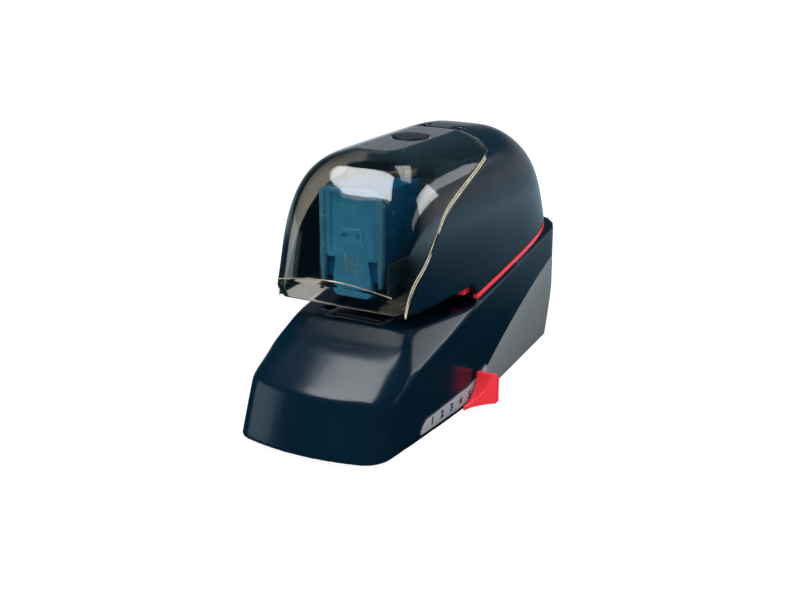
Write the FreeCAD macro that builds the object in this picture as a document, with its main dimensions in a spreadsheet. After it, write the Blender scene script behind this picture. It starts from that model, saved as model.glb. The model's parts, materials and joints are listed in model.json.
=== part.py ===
"""Electric office stapler with a lift-out staple cassette, a clear hood and a sliding depth stop.

Frame: +Z up, +Y towards the rear, +X to the right of someone who faces the paper throat.
Origin: centre of the footprint, on the table. Every length is in millimetres, every angle in degrees.
"""
import FreeCAD, Part
import math
import os

import Sketcher
from FreeCAD import Matrix, Placement, Rotation, Vector

doc = FreeCAD.newDocument("electric_stapler")

# ---------------------------------------------------------------- driving dimensions
SIZES = {
    "lower housing": {
        "body_length": 248, "rim_depth_front": 8, "rim_depth_rear": 8,
        "half_width_front": 44.7, "half_width_middle": 47.4, "half_width_rear": 43.8,
        "corner_front": 14, "corner_rear": 20,
        "wall": 2.4, "shell_floor": 3, "plate_thickness": 1.6,
        "crease_height": 34, "crease_setback": 12.5,
        "deck_height": 61, "deck_front": -69, "deck_rear": 5.4, "deck_half_width": 35,
        "throat_rear": 1, "rim_start": -6, "rim_start_height": 61.7, "rim_slope": 0.166,
        "band_low": 1.6, "band_high": 4.2, "lip_height": 9, "panel_back": 118.6,
        "foot_radius": 7, "foot_front": -94, "foot_rear": 92, "foot_front_side": 22, "foot_rear_side": 25,
    },
    "upper housing and hood": {
        "head_top": 151.4, "head_shoulder": 81, "head_foot": 58,
        "head_apex": -8, "head_front": -91, "head_rear": 117.6,
        "head_half_width": 46, "head_taper": 0.083,
        "throat_top": 72.6, "skin": 2.4, "hood_skin": 2.2, "seam_gap": 0.3,
        "seam_top": 30, "hood_foot": 73, "band_top": 90,
        "pivot_back": 37, "pivot_height": 147.5, "pivot_radius": 1.5,
        "ear_inner": 9, "ear_outer": 13,
    },
    "head mechanism": {
        "chassis_inner": 26, "chassis_thickness": 2,
        "staple_line": -63.5, "cassette_front": -66.5, "cassette_rear": -24.5,
        "cassette_top": 133, "cassette_floor": 83.6, "cassette_half_width": 18, "cassette_wall": 1.8,
        "tongue_foot": 75, "tongue_half_width": 11.5,
        "rod_offset": 15, "rod_back": -14, "rod_radius": 4,
        "rod_foot": 76, "rod_top": 129,
        "nose_back": -54, "nose_height": 116, "nose_radius": 3.5,
        "fit": 0.05,
    },
    "drive": {
        "tooth_module": 1.25,
        "cam_teeth": 48, "idler_small_teeth": 12, "idler_big_teeth": 36, "pinion_teeth": 10,
        "cam_back": 66, "cam_height": 70, "idler_back": 38, "idler_height": 45.05,
        "lever_back": 26, "lever_height": 100, "roller_radius": 5,
        "cam_low": 13, "cam_sweep": 300, "axle_radius": 4, "small_axle_radius": 3,
        "motor_radius": 17.5, "motor_shaft_radius": 1.6,
    },
    "depth stop": {
        "scale_front": -75, "scale_rear": 3.3, "scale_low": 6.3, "scale_depth": 0.9,
        "slot_low": 4.7, "slot_high": 6.2,
        "knob_front": -29, "knob_rear": -5, "stop_front": -12, "stop_rear": -3,
        "stop_half_width": 40, "upright_offset": 22.5, "depth_travel": 44,
    },
    "button": {
        "button_radius": 9.6, "button_back": -2, "button_top": 152, "button_foot": 147,
        "stem_radius": 3, "stem_foot": 133.4, "bridge_foot": 134.5, "bridge_top": 137.5,
    },
}

sheet = doc.addObject("Spreadsheet::Sheet", "Sizes")
row = 1
for group, values in SIZES.items():
    sheet.set(f"A{row}", group)
    row += 1
    for name, value in values.items():
        sheet.set(f"A{row}", name)
        sheet.set(f"B{row}", str(value))
        sheet.setAlias(f"B{row}", name)
        row += 1
doc.recompute()

LEVER_SWEEP = 0.3125    # radians that the lever turns while the cam makes its working sweep
MOTOR_BELOW = 24.16     # degrees by which the motor lies below the idler, seen from the idler
SCREWS = ((34, -88), (37.2, 48))


def num(expression):
    """The value of an expression in the sheet's aliases."""
    return float(sheet.evalExpression(expression))


def bound(expression):
    """The same expression as the document's objects write it, with the sheet's name in front."""
    words = []
    for word in expression.replace("(", " ( ").replace(")", " ) ").split():
        known = any(word in values for values in SIZES.values())
        words.append(f"Sizes.{word}" if known else word)
    return " ".join(words)


# ---------------------------------------------------------------- helpers for the document's objects
def new_body(label):
    """A PartDesign body that becomes one node."""
    return doc.addObject("PartDesign::Body", label)


def new_sketch(item, role, offset):
    """An empty sketch on one of the body's own origin planes, moved along its normal."""
    sketch = item.newObject("Sketcher::SketchObject", item.Name + "_sketch")
    plane = next(f for f in item.Origin.OriginFeatures if f.Role == role)
    sketch.AttachmentSupport = [(plane, "")]
    sketch.MapMode = "FlatFace"
    sketch.setExpression("AttachmentOffset.Base.z", bound(offset))
    return sketch


def hold_point(sketch, geometry, vertex, across, up):
    """Tie one point of a sketch to two expressions."""
    for kind, expression in (("DistanceX", across), ("DistanceY", up)):
        rule = sketch.addConstraint(Sketcher.Constraint(kind, -1, 1, geometry, vertex, num(expression)))
        sketch.setExpression(f"Constraints[{rule}]", bound(expression))


def add_loop(sketch, corners):
    """A closed loop of straight lines; every corner is a pair of expressions."""
    first = sketch.GeometryCount
    count = len(corners)
    places = [Vector(num(a), num(b), 0) for a, b in corners]
    for i in range(count):
        sketch.addGeometry(Part.LineSegment(places[i], places[(i + 1) % count]), False)
    for i in range(count):
        sketch.addConstraint(Sketcher.Constraint("Coincident", first + i, 2, first + (i + 1) % count, 1))
    for i, (across, up) in enumerate(corners):
        hold_point(sketch, first + i, 1, across, up)


def add_circle(sketch, across, up, radius):
    """A circle held by its centre and its radius."""
    spot = Vector(num(across), num(up), 0)
    index = sketch.addGeometry(Part.Circle(spot, Vector(0, 0, 1), num(radius)), False)
    hold_point(sketch, index, 3, across, up)
    rule = sketch.addConstraint(Sketcher.Constraint("Radius", index, num(radius)))
    sketch.setExpression(f"Constraints[{rule}]", bound(radius))


def rectangle(left, right, low, high):
    """The four corners of an upright rectangle."""
    return [(left, low), (right, low), (right, high), (left, high)]


def add_pad(item, sketch, length, symmetric=False, taper=None):
    """A pad along the sketch's normal, or half each way."""
    pad = item.newObject("PartDesign::Pad", item.Name + "_pad")
    pad.Profile = sketch
    pad.SideType = "Symmetric" if symmetric else "One side"
    pad.setExpression("Length", bound(length))
    if taper is not None:
        pad.TaperAngle = taper
    return pad


def add_pocket(item, sketch):
    """A cut through everything, both ways from the sketch."""
    doc.recompute()
    before = item.Shape.Volume
    pocket = item.newObject("PartDesign::Pocket", item.Name + "_pocket")
    pocket.Profile = sketch
    pocket.SideType = "Symmetric"
    pocket.Type = "ThroughAll"
    doc.recompute()
    if item.Shape.Volume >= before:
        raise RuntimeError(f"{item.Label}: a pocket cuts nothing")
    return pocket


def profile_body(label, role, corners, offset, length, symmetric=False):
    """A body padded from one straight-sided outline."""
    item = new_body(label)
    sketch = new_sketch(item, role, offset)
    add_loop(sketch, corners)
    add_pad(item, sketch, length, symmetric)
    return item


def cut_through(item, role, corners=None, circles=()):
    """Cut an outline, or round holes, through the whole body."""
    sketch = new_sketch(item, role, "0")
    if corners:
        add_loop(sketch, corners)
    for across, up, radius in circles:
        add_circle(sketch, across, up, radius)
    add_pocket(item, sketch)


def box(name, x, y, z):
    """A Part::Box between three pairs of expressions."""
    item = doc.addObject("Part::Box", name)
    for size, (low, high) in zip(("Length", "Width", "Height"), (x, y, z)):
        item.setExpression(size, bound(f"( {high} ) - ( {low} )"))
    for axis, (low, _) in zip("xyz", (x, y, z)):
        item.setExpression(f"Placement.Base.{axis}", bound(low))
    return item


ALONG = {"x": Rotation(Vector(0, 1, 0), 90), "y": Rotation(Vector(1, 0, 0), -90), "z": Rotation()}


def rod(name, axis, radius, start, end, first, second):
    """A Part::Cylinder along one axis; first and second are its other two coordinates, in XYZ order."""
    item = doc.addObject("Part::Cylinder", name)
    item.Placement = Placement(Vector(), ALONG[axis])
    item.setExpression("Radius", bound(radius))
    item.setExpression("Height", bound(f"( {end} ) - ( {start} )"))
    others = [letter for letter in "xyz" if letter != axis]
    item.setExpression(f"Placement.Base.{axis}", bound(start))
    item.setExpression(f"Placement.Base.{others[0]}", bound(first))
    item.setExpression(f"Placement.Base.{others[1]}", bound(second))
    return item


def fuse(name, pieces):
    """One node made of several touching pieces."""
    item = doc.addObject("Part::MultiFuse", name)
    item.Shapes = pieces
    item.Refine = True
    return item


def cut(name, base, tools):
    """The base less one tool or the union of several."""
    if len(tools) > 1:
        tool = doc.addObject("Part::MultiFuse", name + "_tools")
        tool.Shapes = tools
    else:
        tool = tools[0]
    item = doc.addObject("Part::Cut", name)
    item.Base = base
    item.Tool = tool
    item.Refine = True
    return item


def feature(name, shape):
    """A shape made with Part's own functions."""
    item = doc.addObject("Part::Feature", name)
    item.Shape = shape
    return item


NODES = []


def keep(item):
    """Count a finished piece as one of the model's nodes, under its own name."""
    NODES.append(item)
    return item


def keep_shape(name, shape):
    """A node whose shape is made with Part's own functions."""
    return keep(feature(name, shape))


def group(name, pieces):
    """Several separate solids in one node."""
    item = doc.addObject("Part::Compound", name)
    item.Links = pieces
    return item


def twin(name, source):
    """The mirror image of a piece on the other side of the YZ plane."""
    item = doc.addObject("Part::Mirroring", name)
    item.Source = source
    item.Normal = Vector(1, 0, 0)
    return item


def mirrored(shape):
    """The shape's twin on the other side of the YZ plane."""
    return shape.mirror(Vector(), Vector(1, 0, 0))


def block(x, y, z):
    """A plain block between three pairs of numbers."""
    return Part.makeBox(x[1] - x[0], y[1] - y[0], z[1] - z[0], Vector(x[0], y[0], z[0]))


def prism(points, direction):
    """A polygon in space, pushed along a vector."""
    return Part.Face(Part.makePolygon([Vector(*p) for p in points + points[:1]])).extrude(Vector(*direction))


def side_slab(points, half_width=80):
    """A closed outline in the YZ plane, pushed through the full width."""
    return prism([(-half_width, y, z) for y, z in points], (2 * half_width, 0, 0))


# ---------------------------------------------------------------- forms of the lower housing
FAR = 200
front = -num("body_length") / 2
rear = num("body_length") / 2


def plan_outline(height, setback):
    """The housing's plan at one height: bowed front, bulging sides and bowed rear, with sharp corners."""
    corner_front = front + setback + num("rim_depth_front")
    corner_rear = rear - num("rim_depth_rear")
    widths = [num("half_width_" + place) for place in ("front", "middle", "rear")]

    def arc(a, b, c):
        return Part.Arc(Vector(*a, height), Vector(*b, height), Vector(*c, height)).toShape()

    middle = (corner_front + corner_rear) / 2
    return Part.Wire([
        arc((-widths[0], corner_front), (0, front + setback), (widths[0], corner_front)),
        arc((widths[0], corner_front), (widths[1], middle), (widths[2], corner_rear)),
        arc((widths[2], corner_rear), (0, rear), (-widths[2], corner_rear)),
        arc((-widths[2], corner_rear), (-widths[1], middle), (-widths[0], corner_front)),
    ])


def round_corners(shape, inset):
    """Round the four upright corners, less by as much as the shape is set in."""
    for radius, at_front in ((num("corner_front"), True), (num("corner_rear"), False)):
        edges = []
        for edge in shape.Edges:
            low, high = sorted((v.Point for v in edge.Vertexes), key=lambda p: p.z)[::len(edge.Vertexes) - 1]
            spot = (low + high) / 2
            if high.z - low.z > 5 and abs(spot.x) > 30 and (spot.y < 0) == at_front:
                edges.append(edge)
        shape = shape.makeFillet(radius - inset, edges)
    return shape


def housing_block(inset, top):
    """The lower housing's outer form: leaning front up to the crease, upright above it."""
    wires = []
    for height, setback in ((num("shell_floor"), 0), (num("crease_height"), num("crease_setback"))):
        wire = plan_outline(height, setback)
        wires.append(wire.makeOffset2D(-inset, 2) if inset else wire)
    lower = round_corners(Part.makeLoft(wires, True, True), inset)
    upper = Part.Face(wires[1]).extrude(Vector(0, 0, top - num("crease_height")))
    return lower.fuse(round_corners(upper, inset))


def slope_cutter(lift):
    """What lies above the sloping top, from the crease round the bowed front to the deck's straight edge."""
    crease = num("crease_height")
    deck = num("deck_height")
    edge = num("deck_front")
    reach = 60
    crown = Part.Face(plan_outline(crease, num("crease_setback")))
    upright = round_corners(crown.extrude(Vector(0, 0, 9)), 0)
    ring = upright.slice(Vector(0, 0, 1), crease + 1)[0].discretize(240)
    nose = sorted((p for p in ring if p.y < -90), key=lambda p: math.atan2(p.x, -p.y - 70))[::6]
    ends = [Vector(side * (num("half_width_middle") + 2), -60, 0) for side in (-1, 1)]
    bowed = Part.BSplineCurve()
    bowed.interpolate([Vector(p.x, p.y, crease) for p in [ends[0]] + nose + [ends[1]]])
    wires = []
    for height, curve in (
        (crease, bowed.toShape()),
        (deck, Part.makeLine(Vector(-reach, edge, deck), Vector(reach, edge, deck))),
    ):
        tips = [v.Point for v in curve.Vertexes]
        ahead = [Vector(reach, -FAR, height), Vector(-reach, -FAR, height)]
        wires.append(Part.Wire([curve, Part.makeLine(tips[1], ahead[0]),
                                Part.makeLine(ahead[0], ahead[1]), Part.makeLine(ahead[1], tips[0])]))
    cutter = Part.makeLoft(wires, True, True)
    above = block((-reach, reach), (-FAR, edge), (deck, deck + 60))
    return cutter.fuse(above).translated(lift)


def shoulder_cutter(drop):
    """What lies above the flat shoulder between the deck's edge and the side, on the right."""
    low = Vector(45.2, -96.3, 37.4)
    back = Vector(46.9, -9.4, 62.4)
    inner = Vector(num("deck_half_width"), num("deck_front") + 2, num("deck_height"))
    normal = (back - low).cross(inner - low).normalize()
    if normal.z < 0:
        normal = -normal
    along = (back - low).normalize()
    across = normal.cross(along)
    centre = low - normal * drop
    corners = [centre + along * a + across * b for a, b in ((-40, -60), (130, -60), (130, 60), (-40, 60))]
    return Part.Face(Part.makePolygon(corners + corners[:1])).extrude(normal * 70)


def corner_cutter(drop):
    """What lies outside the leaning flat at the lower rear corner, on the right."""
    start = Vector(47.37, 10, 9.5)
    low = Vector(36, 116, 4)
    high = Vector(46.3, 64, 35.5)
    normal = (low - start).cross(high - start).normalize()
    if normal.x < 0:
        normal = -normal
    along = (low - start).normalize()
    across = normal.cross(along)
    centre = start - normal * drop
    corners = [centre + along * a + across * b for a, b in ((-60, -90), (170, -90), (170, 90), (-60, 90))]
    return Part.Face(Part.makePolygon(corners + corners[:1])).extrude(normal * 60)


def rim(offset):
    """Height of the side walls' top edge behind the throat, as a line in the YZ plane."""
    start = num("rim_start")
    height = num("rim_start_height") + offset
    return [(start, height), (FAR, height + (FAR - start) * num("rim_slope"))]


def above_housing():
    """What lies above the deck and, behind the throat, above the rim."""
    deck = num("deck_height")
    line = rim(0)
    return side_slab([(-FAR, deck), (line[0][0] - 4, deck)] + line + [(FAR, 260), (-FAR, 260)])


# ---------------------------------------------------------------- forms of the upper housing and hood
FRONT_SQUARENESS, REAR_SQUARENESS = 5.8, 5.0
FRONT_LIFT, FRONT_EASE = 0.70, 6.64
REAR_CURVE, SIDE_CURVE, REAR_LEAN = 4.5, 3.1, 0.38
FRONT_SLANT = 0.25
POINTS_ROUND = 44


def head_section(height, inset):
    """One level outline of the head: a superellipse with its own squareness in front and behind."""
    top = num("head_top") - inset
    shoulder = num("head_shoulder")
    share = max(0.0, (height - shoulder) / (top - shoulder))
    apex = num("head_apex")
    ahead = apex - (num("head_front") + inset)
    behind = num("head_rear") - inset - apex
    width = num("head_half_width") - inset
    width *= (1 - share ** SIDE_CURVE) ** (1 / SIDE_CURVE)
    ahead *= (1 - share ** FRONT_LIFT) ** (1 / FRONT_EASE)
    behind = behind * (1 - share ** REAR_CURVE) ** (1 / REAR_CURVE)
    behind -= REAR_LEAN * max(0.0, height - shoulder) * (1 - share ** 12)
    ahead += FRONT_SLANT * max(0.0, shoulder - height)
    points = []
    for step in range(POINTS_ROUND):
        turn = 2 * math.pi * (step + 0.5) / POINTS_ROUND
        cosine, sine = math.cos(turn), math.sin(turn)
        power = 2 / (FRONT_SQUARENESS if sine < 0 else REAR_SQUARENESS)
        y = apex + math.copysign(abs(sine) ** power, sine) * (ahead if sine < 0 else behind)
        x = math.copysign(abs(cosine) ** power, cosine) * width
        x *= 1 - num("head_taper") * max(0.0, apex - y) / 100
        points.append(Vector(x, y, height))
    curve = Part.BSplineCurve()
    curve.interpolate(Points=points, PeriodicFlag=True)
    return Part.Wire([curve.toShape()])


def head_form(inset):
    """The closed form of the whole head, set in by a wall's thickness."""
    top = num("head_top") - inset
    shoulder = num("head_shoulder")
    shares = (0, 0.16, 0.32, 0.48, 0.62, 0.74, 0.84, 0.91, 0.955, 0.982, 0.996)
    heights = [num("head_foot"), (num("head_foot") + shoulder) / 2]
    heights += [shoulder + share * (top - shoulder) for share in shares]
    return Part.makeLoft([head_section(height, inset) for height in heights], True, False)


def seam_front(shift):
    """Everything ahead of the seam: it climbs back in one sweep, then stands up across the top."""
    foot = Vector(0, -80 + shift, 69)
    knee = Vector(0, -36 + shift, 121)
    shoulder = Vector(0, num("seam_top") - 1.5 + shift, 141)
    crown = Vector(0, num("seam_top") + 1.4 + shift, 153)
    sweep = Part.BSplineCurve()
    sweep.interpolate([foot, Vector(0, -62 + shift, 98), knee, Vector(0, -6 + shift, 131.2), shoulder])
    edges = [sweep.toShape()]
    path = [shoulder, crown, Vector(0, crown.y, 240), Vector(0, -FAR, 240), Vector(0, -FAR, 60),
            Vector(0, foot.y - 4, 60), foot]
    edges += [Part.makeLine(a, b) for a, b in zip(path, path[1:])]
    return Part.Face(Part.Wire(edges)).extrude(Vector(160, 0, 0)).translated(Vector(-80, 0, 0))


def band_limit(inset):
    """Inside of the hood's bevelled lower band, and everything above it."""
    rings = []
    for height, outline in (
        (num("hood_foot"), ((34, -81.5), (37, -78.5), (46, -55), (60, 0))),
        (num("band_top"), ((37.5, -91.3), (42.5, -86), (50, -60), (60, 0))),
    ):
        right = [(x - inset, y + inset if y < -50 else y) for x, y in outline]
        ring = right + [(60, 60), (-60, 60)] + [(-x, y) for x, y in reversed(right)]
        rings.append(Part.makePolygon([Vector(x, y, height) for x, y in ring + ring[:1]]))
    bevel = Part.makeLoft(rings, True, True)
    return bevel.fuse(block((-90, 90), (-FAR, FAR), (num("band_top"), 260))).removeSplitter()


# ---------------------------------------------------------------- lower housing
def band_between(low, high, start):
    """A slanted layer between two offsets of the rim line, from one depth to the rear."""
    under = rim(low)
    over = rim(high)
    slope = num("rim_slope")
    points = []
    for line in (under, over):
        y, z = line[0]
        points.append([(start, z + (start - y) * slope), line[1]])
    return side_slab(points[0] + points[1][::-1])


def seat_for_head():
    """Ledge on top of the walls and the lip that the trim band and the upper housing sit over."""
    start = num("rim_start")
    behind = num("deck_rear")
    inner = head_form(4.3)
    ledge = housing_block(1, 120).common(band_between(-2.4, 0, behind)).cut(inner)
    foot = head_form(0.8).cut(head_form(2.4)).common(band_between(-2, num("band_low"), start))
    foot = foot.fuse(head_form(0.8).cut(inner).common(band_between(-2.4, num("band_low"), behind)))
    lip = head_form(2.7).cut(inner).common(band_between(0, num("lip_height"), behind))
    return ledge.fuse(foot).fuse(lip)


def connector_panel():
    """Flat sunk panel in the rear wall for the inlet and the switch, and the space outside it."""
    deep = num("panel_back")
    pad = block((-32, 30), (deep - num("wall"), 130), (13, 47))
    recess = block((-29, 26), (deep, 130), (16.5, 43.5))
    inlet = block((-26, -3), (100, 130), (21, 39))
    switch = block((8.5, 22.5), (100, 130), (19, 41))
    return pad, recess.fuse(inlet).fuse(switch)


def make_lower_housing():
    """Base shell with deck, slots and bosses, and the two corner panels seated in it."""
    wall = num("wall")
    block_form = housing_block(0, 120).cut(slope_cutter(Vector())).cut(above_housing())
    shoulder = shoulder_cutter(0)
    block_form = block_form.cut(shoulder).cut(mirrored(shoulder))
    panel_depth = 2.0

    inner = housing_block(wall, 120)
    slope_normal = Vector(0, 1.25, -2.05)
    cavity = inner.cut(slope_cutter(slope_normal)).cut(
        side_slab([(-FAR, num("deck_height") - wall), (num("deck_rear"), num("deck_height") - wall),
                   (num("deck_rear"), 260), (-FAR, 260)]))
    inner_shoulder = shoulder_cutter(wall)
    behind = block((-80, 80), (num("deck_rear"), FAR), (0, 260))
    inner_shoulder = inner_shoulder.cut(behind)
    inner_corner = corner_cutter(panel_depth + wall)
    cavity = cavity.cut(inner_shoulder).cut(mirrored(inner_shoulder))
    cavity = cavity.cut(inner_corner).cut(mirrored(inner_corner))

    bosses = []
    for x, y in SCREWS:
        foot = Vector(x, y, num("shell_floor") + num("plate_thickness"))
        post = Part.makeCylinder(4.2, 60 if y < 0 else 30, foot)
        hole = Part.makeCylinder(1.5, 12, Vector(x, y, 0))
        bosses += [(post, hole), (mirrored(post), mirrored(hole))]

    shell = block_form.cut(cavity)
    for post, hole in bosses:
        shell = shell.fuse(post.common(block_form)).cut(hole)
    outer_corner = corner_cutter(panel_depth)
    shell = shell.cut(outer_corner).cut(mirrored(outer_corner))

    throat = block((-80, 80), (num("rim_start") - 8, num("deck_rear")), (num("deck_height"), 100))
    shell = shell.cut(inner.common(throat))
    slot = block((-80, 80), (num("knob_front") - num("depth_travel") - 1, num("knob_rear") + 1),
                 (num("slot_low"), num("slot_high")))
    for side in ((-80, -30), (30, 80)):
        shell = shell.cut(slot.common(block(side, (-FAR, FAR), (0, 20))))
    travel = num("depth_travel")
    for side in (-1, 1):
        centre = side * num("upright_offset")
        shell = shell.cut(block((centre - 2.1, centre + 2.1),
                                (num("stop_front") - travel - 0.6, num("stop_rear") + 0.6), (50, 70)))
    shell = shell.cut(block((-17, 17), (-66.6, -48.8), (50, 70)))
    shell = shell.cut(block((-18.6, 18.6), (-67.5, -46.8), (num("deck_height") - 0.8, 70)))
    shell = shell.cut(block((-2.6, 2.6), (-40, -24), (50, 70)))
    shell = shell.fuse(seat_for_head()).cut(above_housing().cut(head_form(0.8)))
    pad, recess = connector_panel()
    shell = shell.fuse(pad.common(block_form)).cut(recess)
    keep_shape("base_shell", shell.removeSplitter())

    slab = corner_cutter(panel_depth).cut(corner_cutter(0))
    panel = block_form.common(slab).common(block((10, 80), (-12, FAR), (0, 100)))
    keep_shape("right_corner_panel", panel)
    keep_shape("left_corner_panel", mirrored(panel))


def make_base_details():
    """Base plate, feet, screws, scale plates and trim band."""
    floor = num("shell_floor")
    thick = num("plate_thickness")
    gap = num("wall") + 0.2
    plate = housing_block(gap, 60).common(block((-90, 90), (-FAR, FAR), (floor, floor + thick)))
    edge = corner_cutter(2 + gap)
    plate = plate.cut(edge).cut(mirrored(edge))
    spots = [(side * x, y) for x, y in SCREWS for side in (-1, 1)]
    for x, y in spots:
        plate = plate.cut(Part.makeCylinder(1.7, 10, Vector(x, y, 0)))
    keep_shape("base_plate", plate)

    screws = []
    for count, (x, y) in enumerate(spots):
        head = rod(f"screw_head_{count}", "z", "3.2", "shell_floor - 1.4", "shell_floor", str(x), str(y))
        shank = rod(f"screw_shank_{count}", "z", "1.45", "shell_floor", "shell_floor + 8.5", str(x), str(y))
        screws.append(fuse(f"screw_{count}", [head, shank]))
    keep(group("base_screws", screws))

    feet = []
    for end in ("front", "rear"):
        for side, sign in (("left", "-1"), ("right", "1")):
            feet.append(rod(f"{end}_{side}_foot", "z", "foot_radius", "0", "shell_floor",
                            f"{sign} * foot_{end}_side", f"foot_{end}"))
    keep(group("rubber_feet", feet))

    skin = housing_block(0, 60)
    outer = skin.translated(Vector(num("scale_depth"), 0, 0)).cut(skin)
    low = num("scale_low")
    start = num("scale_front")
    end = num("scale_rear")
    outline = [(start, low), (start + 0.4, low + 1.3), (start + 3, low + 4.3), (start + 6.7, low + 6.6),
               (-21.8, 15.1), (-9.3, 16.8), (end - 0.3, 21.1), (end, 14.9), (-23.6, low)]
    plate = outer.common(side_slab(outline)).common(block((20, 80), (-FAR, FAR), (0, 60)))
    keep_shape("right_scale_plate", plate)
    keep_shape("left_scale_plate", mirrored(plate))

    band = head_form(0.2).cut(head_form(2.6))
    keep_shape("trim_band", band.common(band_between(num("band_low"), num("band_high"), num("rim_start"))))


# ---------------------------------------------------------------- upper housing and hood
def hinge_places():
    """The inner and outer side of each hinge ear, on both sides."""
    inner, outer = num("ear_inner"), num("ear_outer")
    return [(inner, outer), (-outer, -inner)]


def make_upper_housing():
    """The opaque shell behind the seam, with lugs and slots for the hood's hinge."""
    skin = head_form(0).cut(head_form(num("skin"))).cut(seam_front(num("seam_gap")))
    top = num("throat_top")
    line = rim(num("band_high"))
    step = [(-FAR, top), (-10.5, top), (-9, top - 2), (-7.4, line[0][1])]
    skin = skin.cut(side_slab(step + line + [(FAR, -20), (-FAR, -20)]))
    back = num("pivot_back")
    height = num("pivot_height")
    for low, high in hinge_places():
        skin = skin.cut(block((low - 0.4, high + 0.4), (back - 8, back + 2.6), (height - 8, height + 20)))
    inside = head_form(0.6)
    for low, high in hinge_places():
        for start, end in ((low - 2.8, low - 0.2), (high + 0.2, high + 2.8)):
            lug = block((start, end), (back - 4, back + 4), (height - 4, height + 8)).common(inside)
            skin = skin.fuse(lug)
    bore = Part.makeCylinder(num("pivot_radius") - 0.25, 40, Vector(-20, back, height), Vector(1, 0, 0))
    keep_shape("upper_housing", skin.cut(bore).removeSplitter())


def make_hood():
    """The clear hood with its button hole, catch and hinge ears."""
    skin = num("hood_skin")
    outside = head_form(0).common(band_limit(0))
    hollow = head_form(skin).common(band_limit(skin))
    clear = outside.cut(hollow).common(seam_front(0))
    floor = block((-90, 90), (-FAR, FAR), (num("hood_foot"), FAR))
    clear = clear.common(floor)
    back = num("pivot_back")
    height = num("pivot_height")
    reach = num("pivot_radius") + 0.7
    inside = head_form(0.6)
    for low, high in hinge_places():
        arm = block((low, high), (back - 12, back), (height - reach, height + reach))
        knuckle = Part.makeCylinder(reach, high - low, Vector(low, back, height), Vector(1, 0, 0))
        clear = clear.fuse(arm.fuse(knuckle).common(inside))
    catch = block((-5, 5), (-19, -16.5), (129.5, num("head_top"))).common(inside)
    clear = clear.fuse(catch)
    bore = Part.makeCylinder(num("pivot_radius") - 0.2, 40, Vector(-20, back, height), Vector(1, 0, 0))
    hole = Part.makeCylinder(num("button_radius") + 0.7, 30, Vector(0, num("button_back"), 140))
    keep_shape("hood", clear.cut(bore).cut(hole).removeSplitter())

    pins = []
    for name, start in (("left_pin", "-1 * ear_outer - 2.8"), ("right_pin", "ear_inner - 2.8")):
        end = f"{start} + ear_outer - ear_inner + 5.6"
        pins.append(rod(name, "x", "pivot_radius - 0.25", start, end, "pivot_back", "pivot_height"))
    keep(group("hinge_pins", pins))


# ---------------------------------------------------------------- frame and anvil
def make_anvil():
    """Anvil plate and block under the staple line, with two balanced clincher flaps on their pins."""
    line = "staple_line"
    plate = profile_body("anvil_plate", "XY_Plane", [
        ("-18.5", f"{line} - 3.9"), ("-10.5", f"{line} - 3.9"), ("-9.5", f"{line} - 2.9"),
        ("9.5", f"{line} - 2.9"), ("10.5", f"{line} - 3.9"), ("18.5", f"{line} - 3.9"),
        ("18.5", f"{line} + 16.6"), ("-18.5", f"{line} + 16.6"),
    ], "deck_height - 0.8", "1.4")
    cut_through(plate, "XY_Plane", rectangle("-14", "14", f"{line} - 2", f"{line} + 2"))
    keep(plate)

    low = box("anvil_foot", ("-16", "16"), (f"{line} - 6.5", f"{line} + 14.5"), ("38", "56"))
    high = box("anvil_head", ("-16", "16"), (f"{line} - 3", f"{line} + 14.5"), ("38", "deck_height - 0.8"))
    flange = box("anvil_flange", ("-1 * chassis_inner", "chassis_inner"),
                 (f"{line} - 6.5", f"{line} + 0.9"), ("38", "54"))
    wings = box("anvil_wings", ("-22.6", "22.6"), (f"{line} - 3.6", f"{line} + 3.2"), ("38", "58"))
    pocket = box("anvil_pocket", ("-21.7", "21.7"), (f"{line} - 2.7", f"{line} + 1.7"), ("51", "deck_height"))
    bores = [rod(f"anvil_bore_{side}", "y", "1", f"{line} - 3.1", f"{line} + 6", side, "57.2")
             for side in ("-13", "13")]
    keep(cut("anvil_block", fuse("anvil_solid", [low, high, flange, wings]), [pocket] + bores))

    keep(group("clincher_pins", [
        rod(f"clincher_pin_{side}", "y", "1", f"{line} - 3", f"{line} + 4", side, "57.2")
        for side in ("-13", "13")]))
    flap = profile_body("right_flap", "XZ_Plane", [
        ("0.8", "56.9"), ("0.8", "58.1"), ("11.4", "58.9"), ("14.4", "58.9"), ("14.4", "57.9"),
        ("21", "57.9"), ("21", "53.1"), ("14.4", "53.1"), ("14.4", "55.6"), ("11.4", "55.6"),
    ], f"-1 * {line}", "3", True)
    right = keep(cut("right_clincher", flap, [rod("flap_bore", "y", "1.1", f"{line} - 4", f"{line} + 4",
                                                  "13", "57.2")]))
    keep(twin("left_clincher", right))


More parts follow.
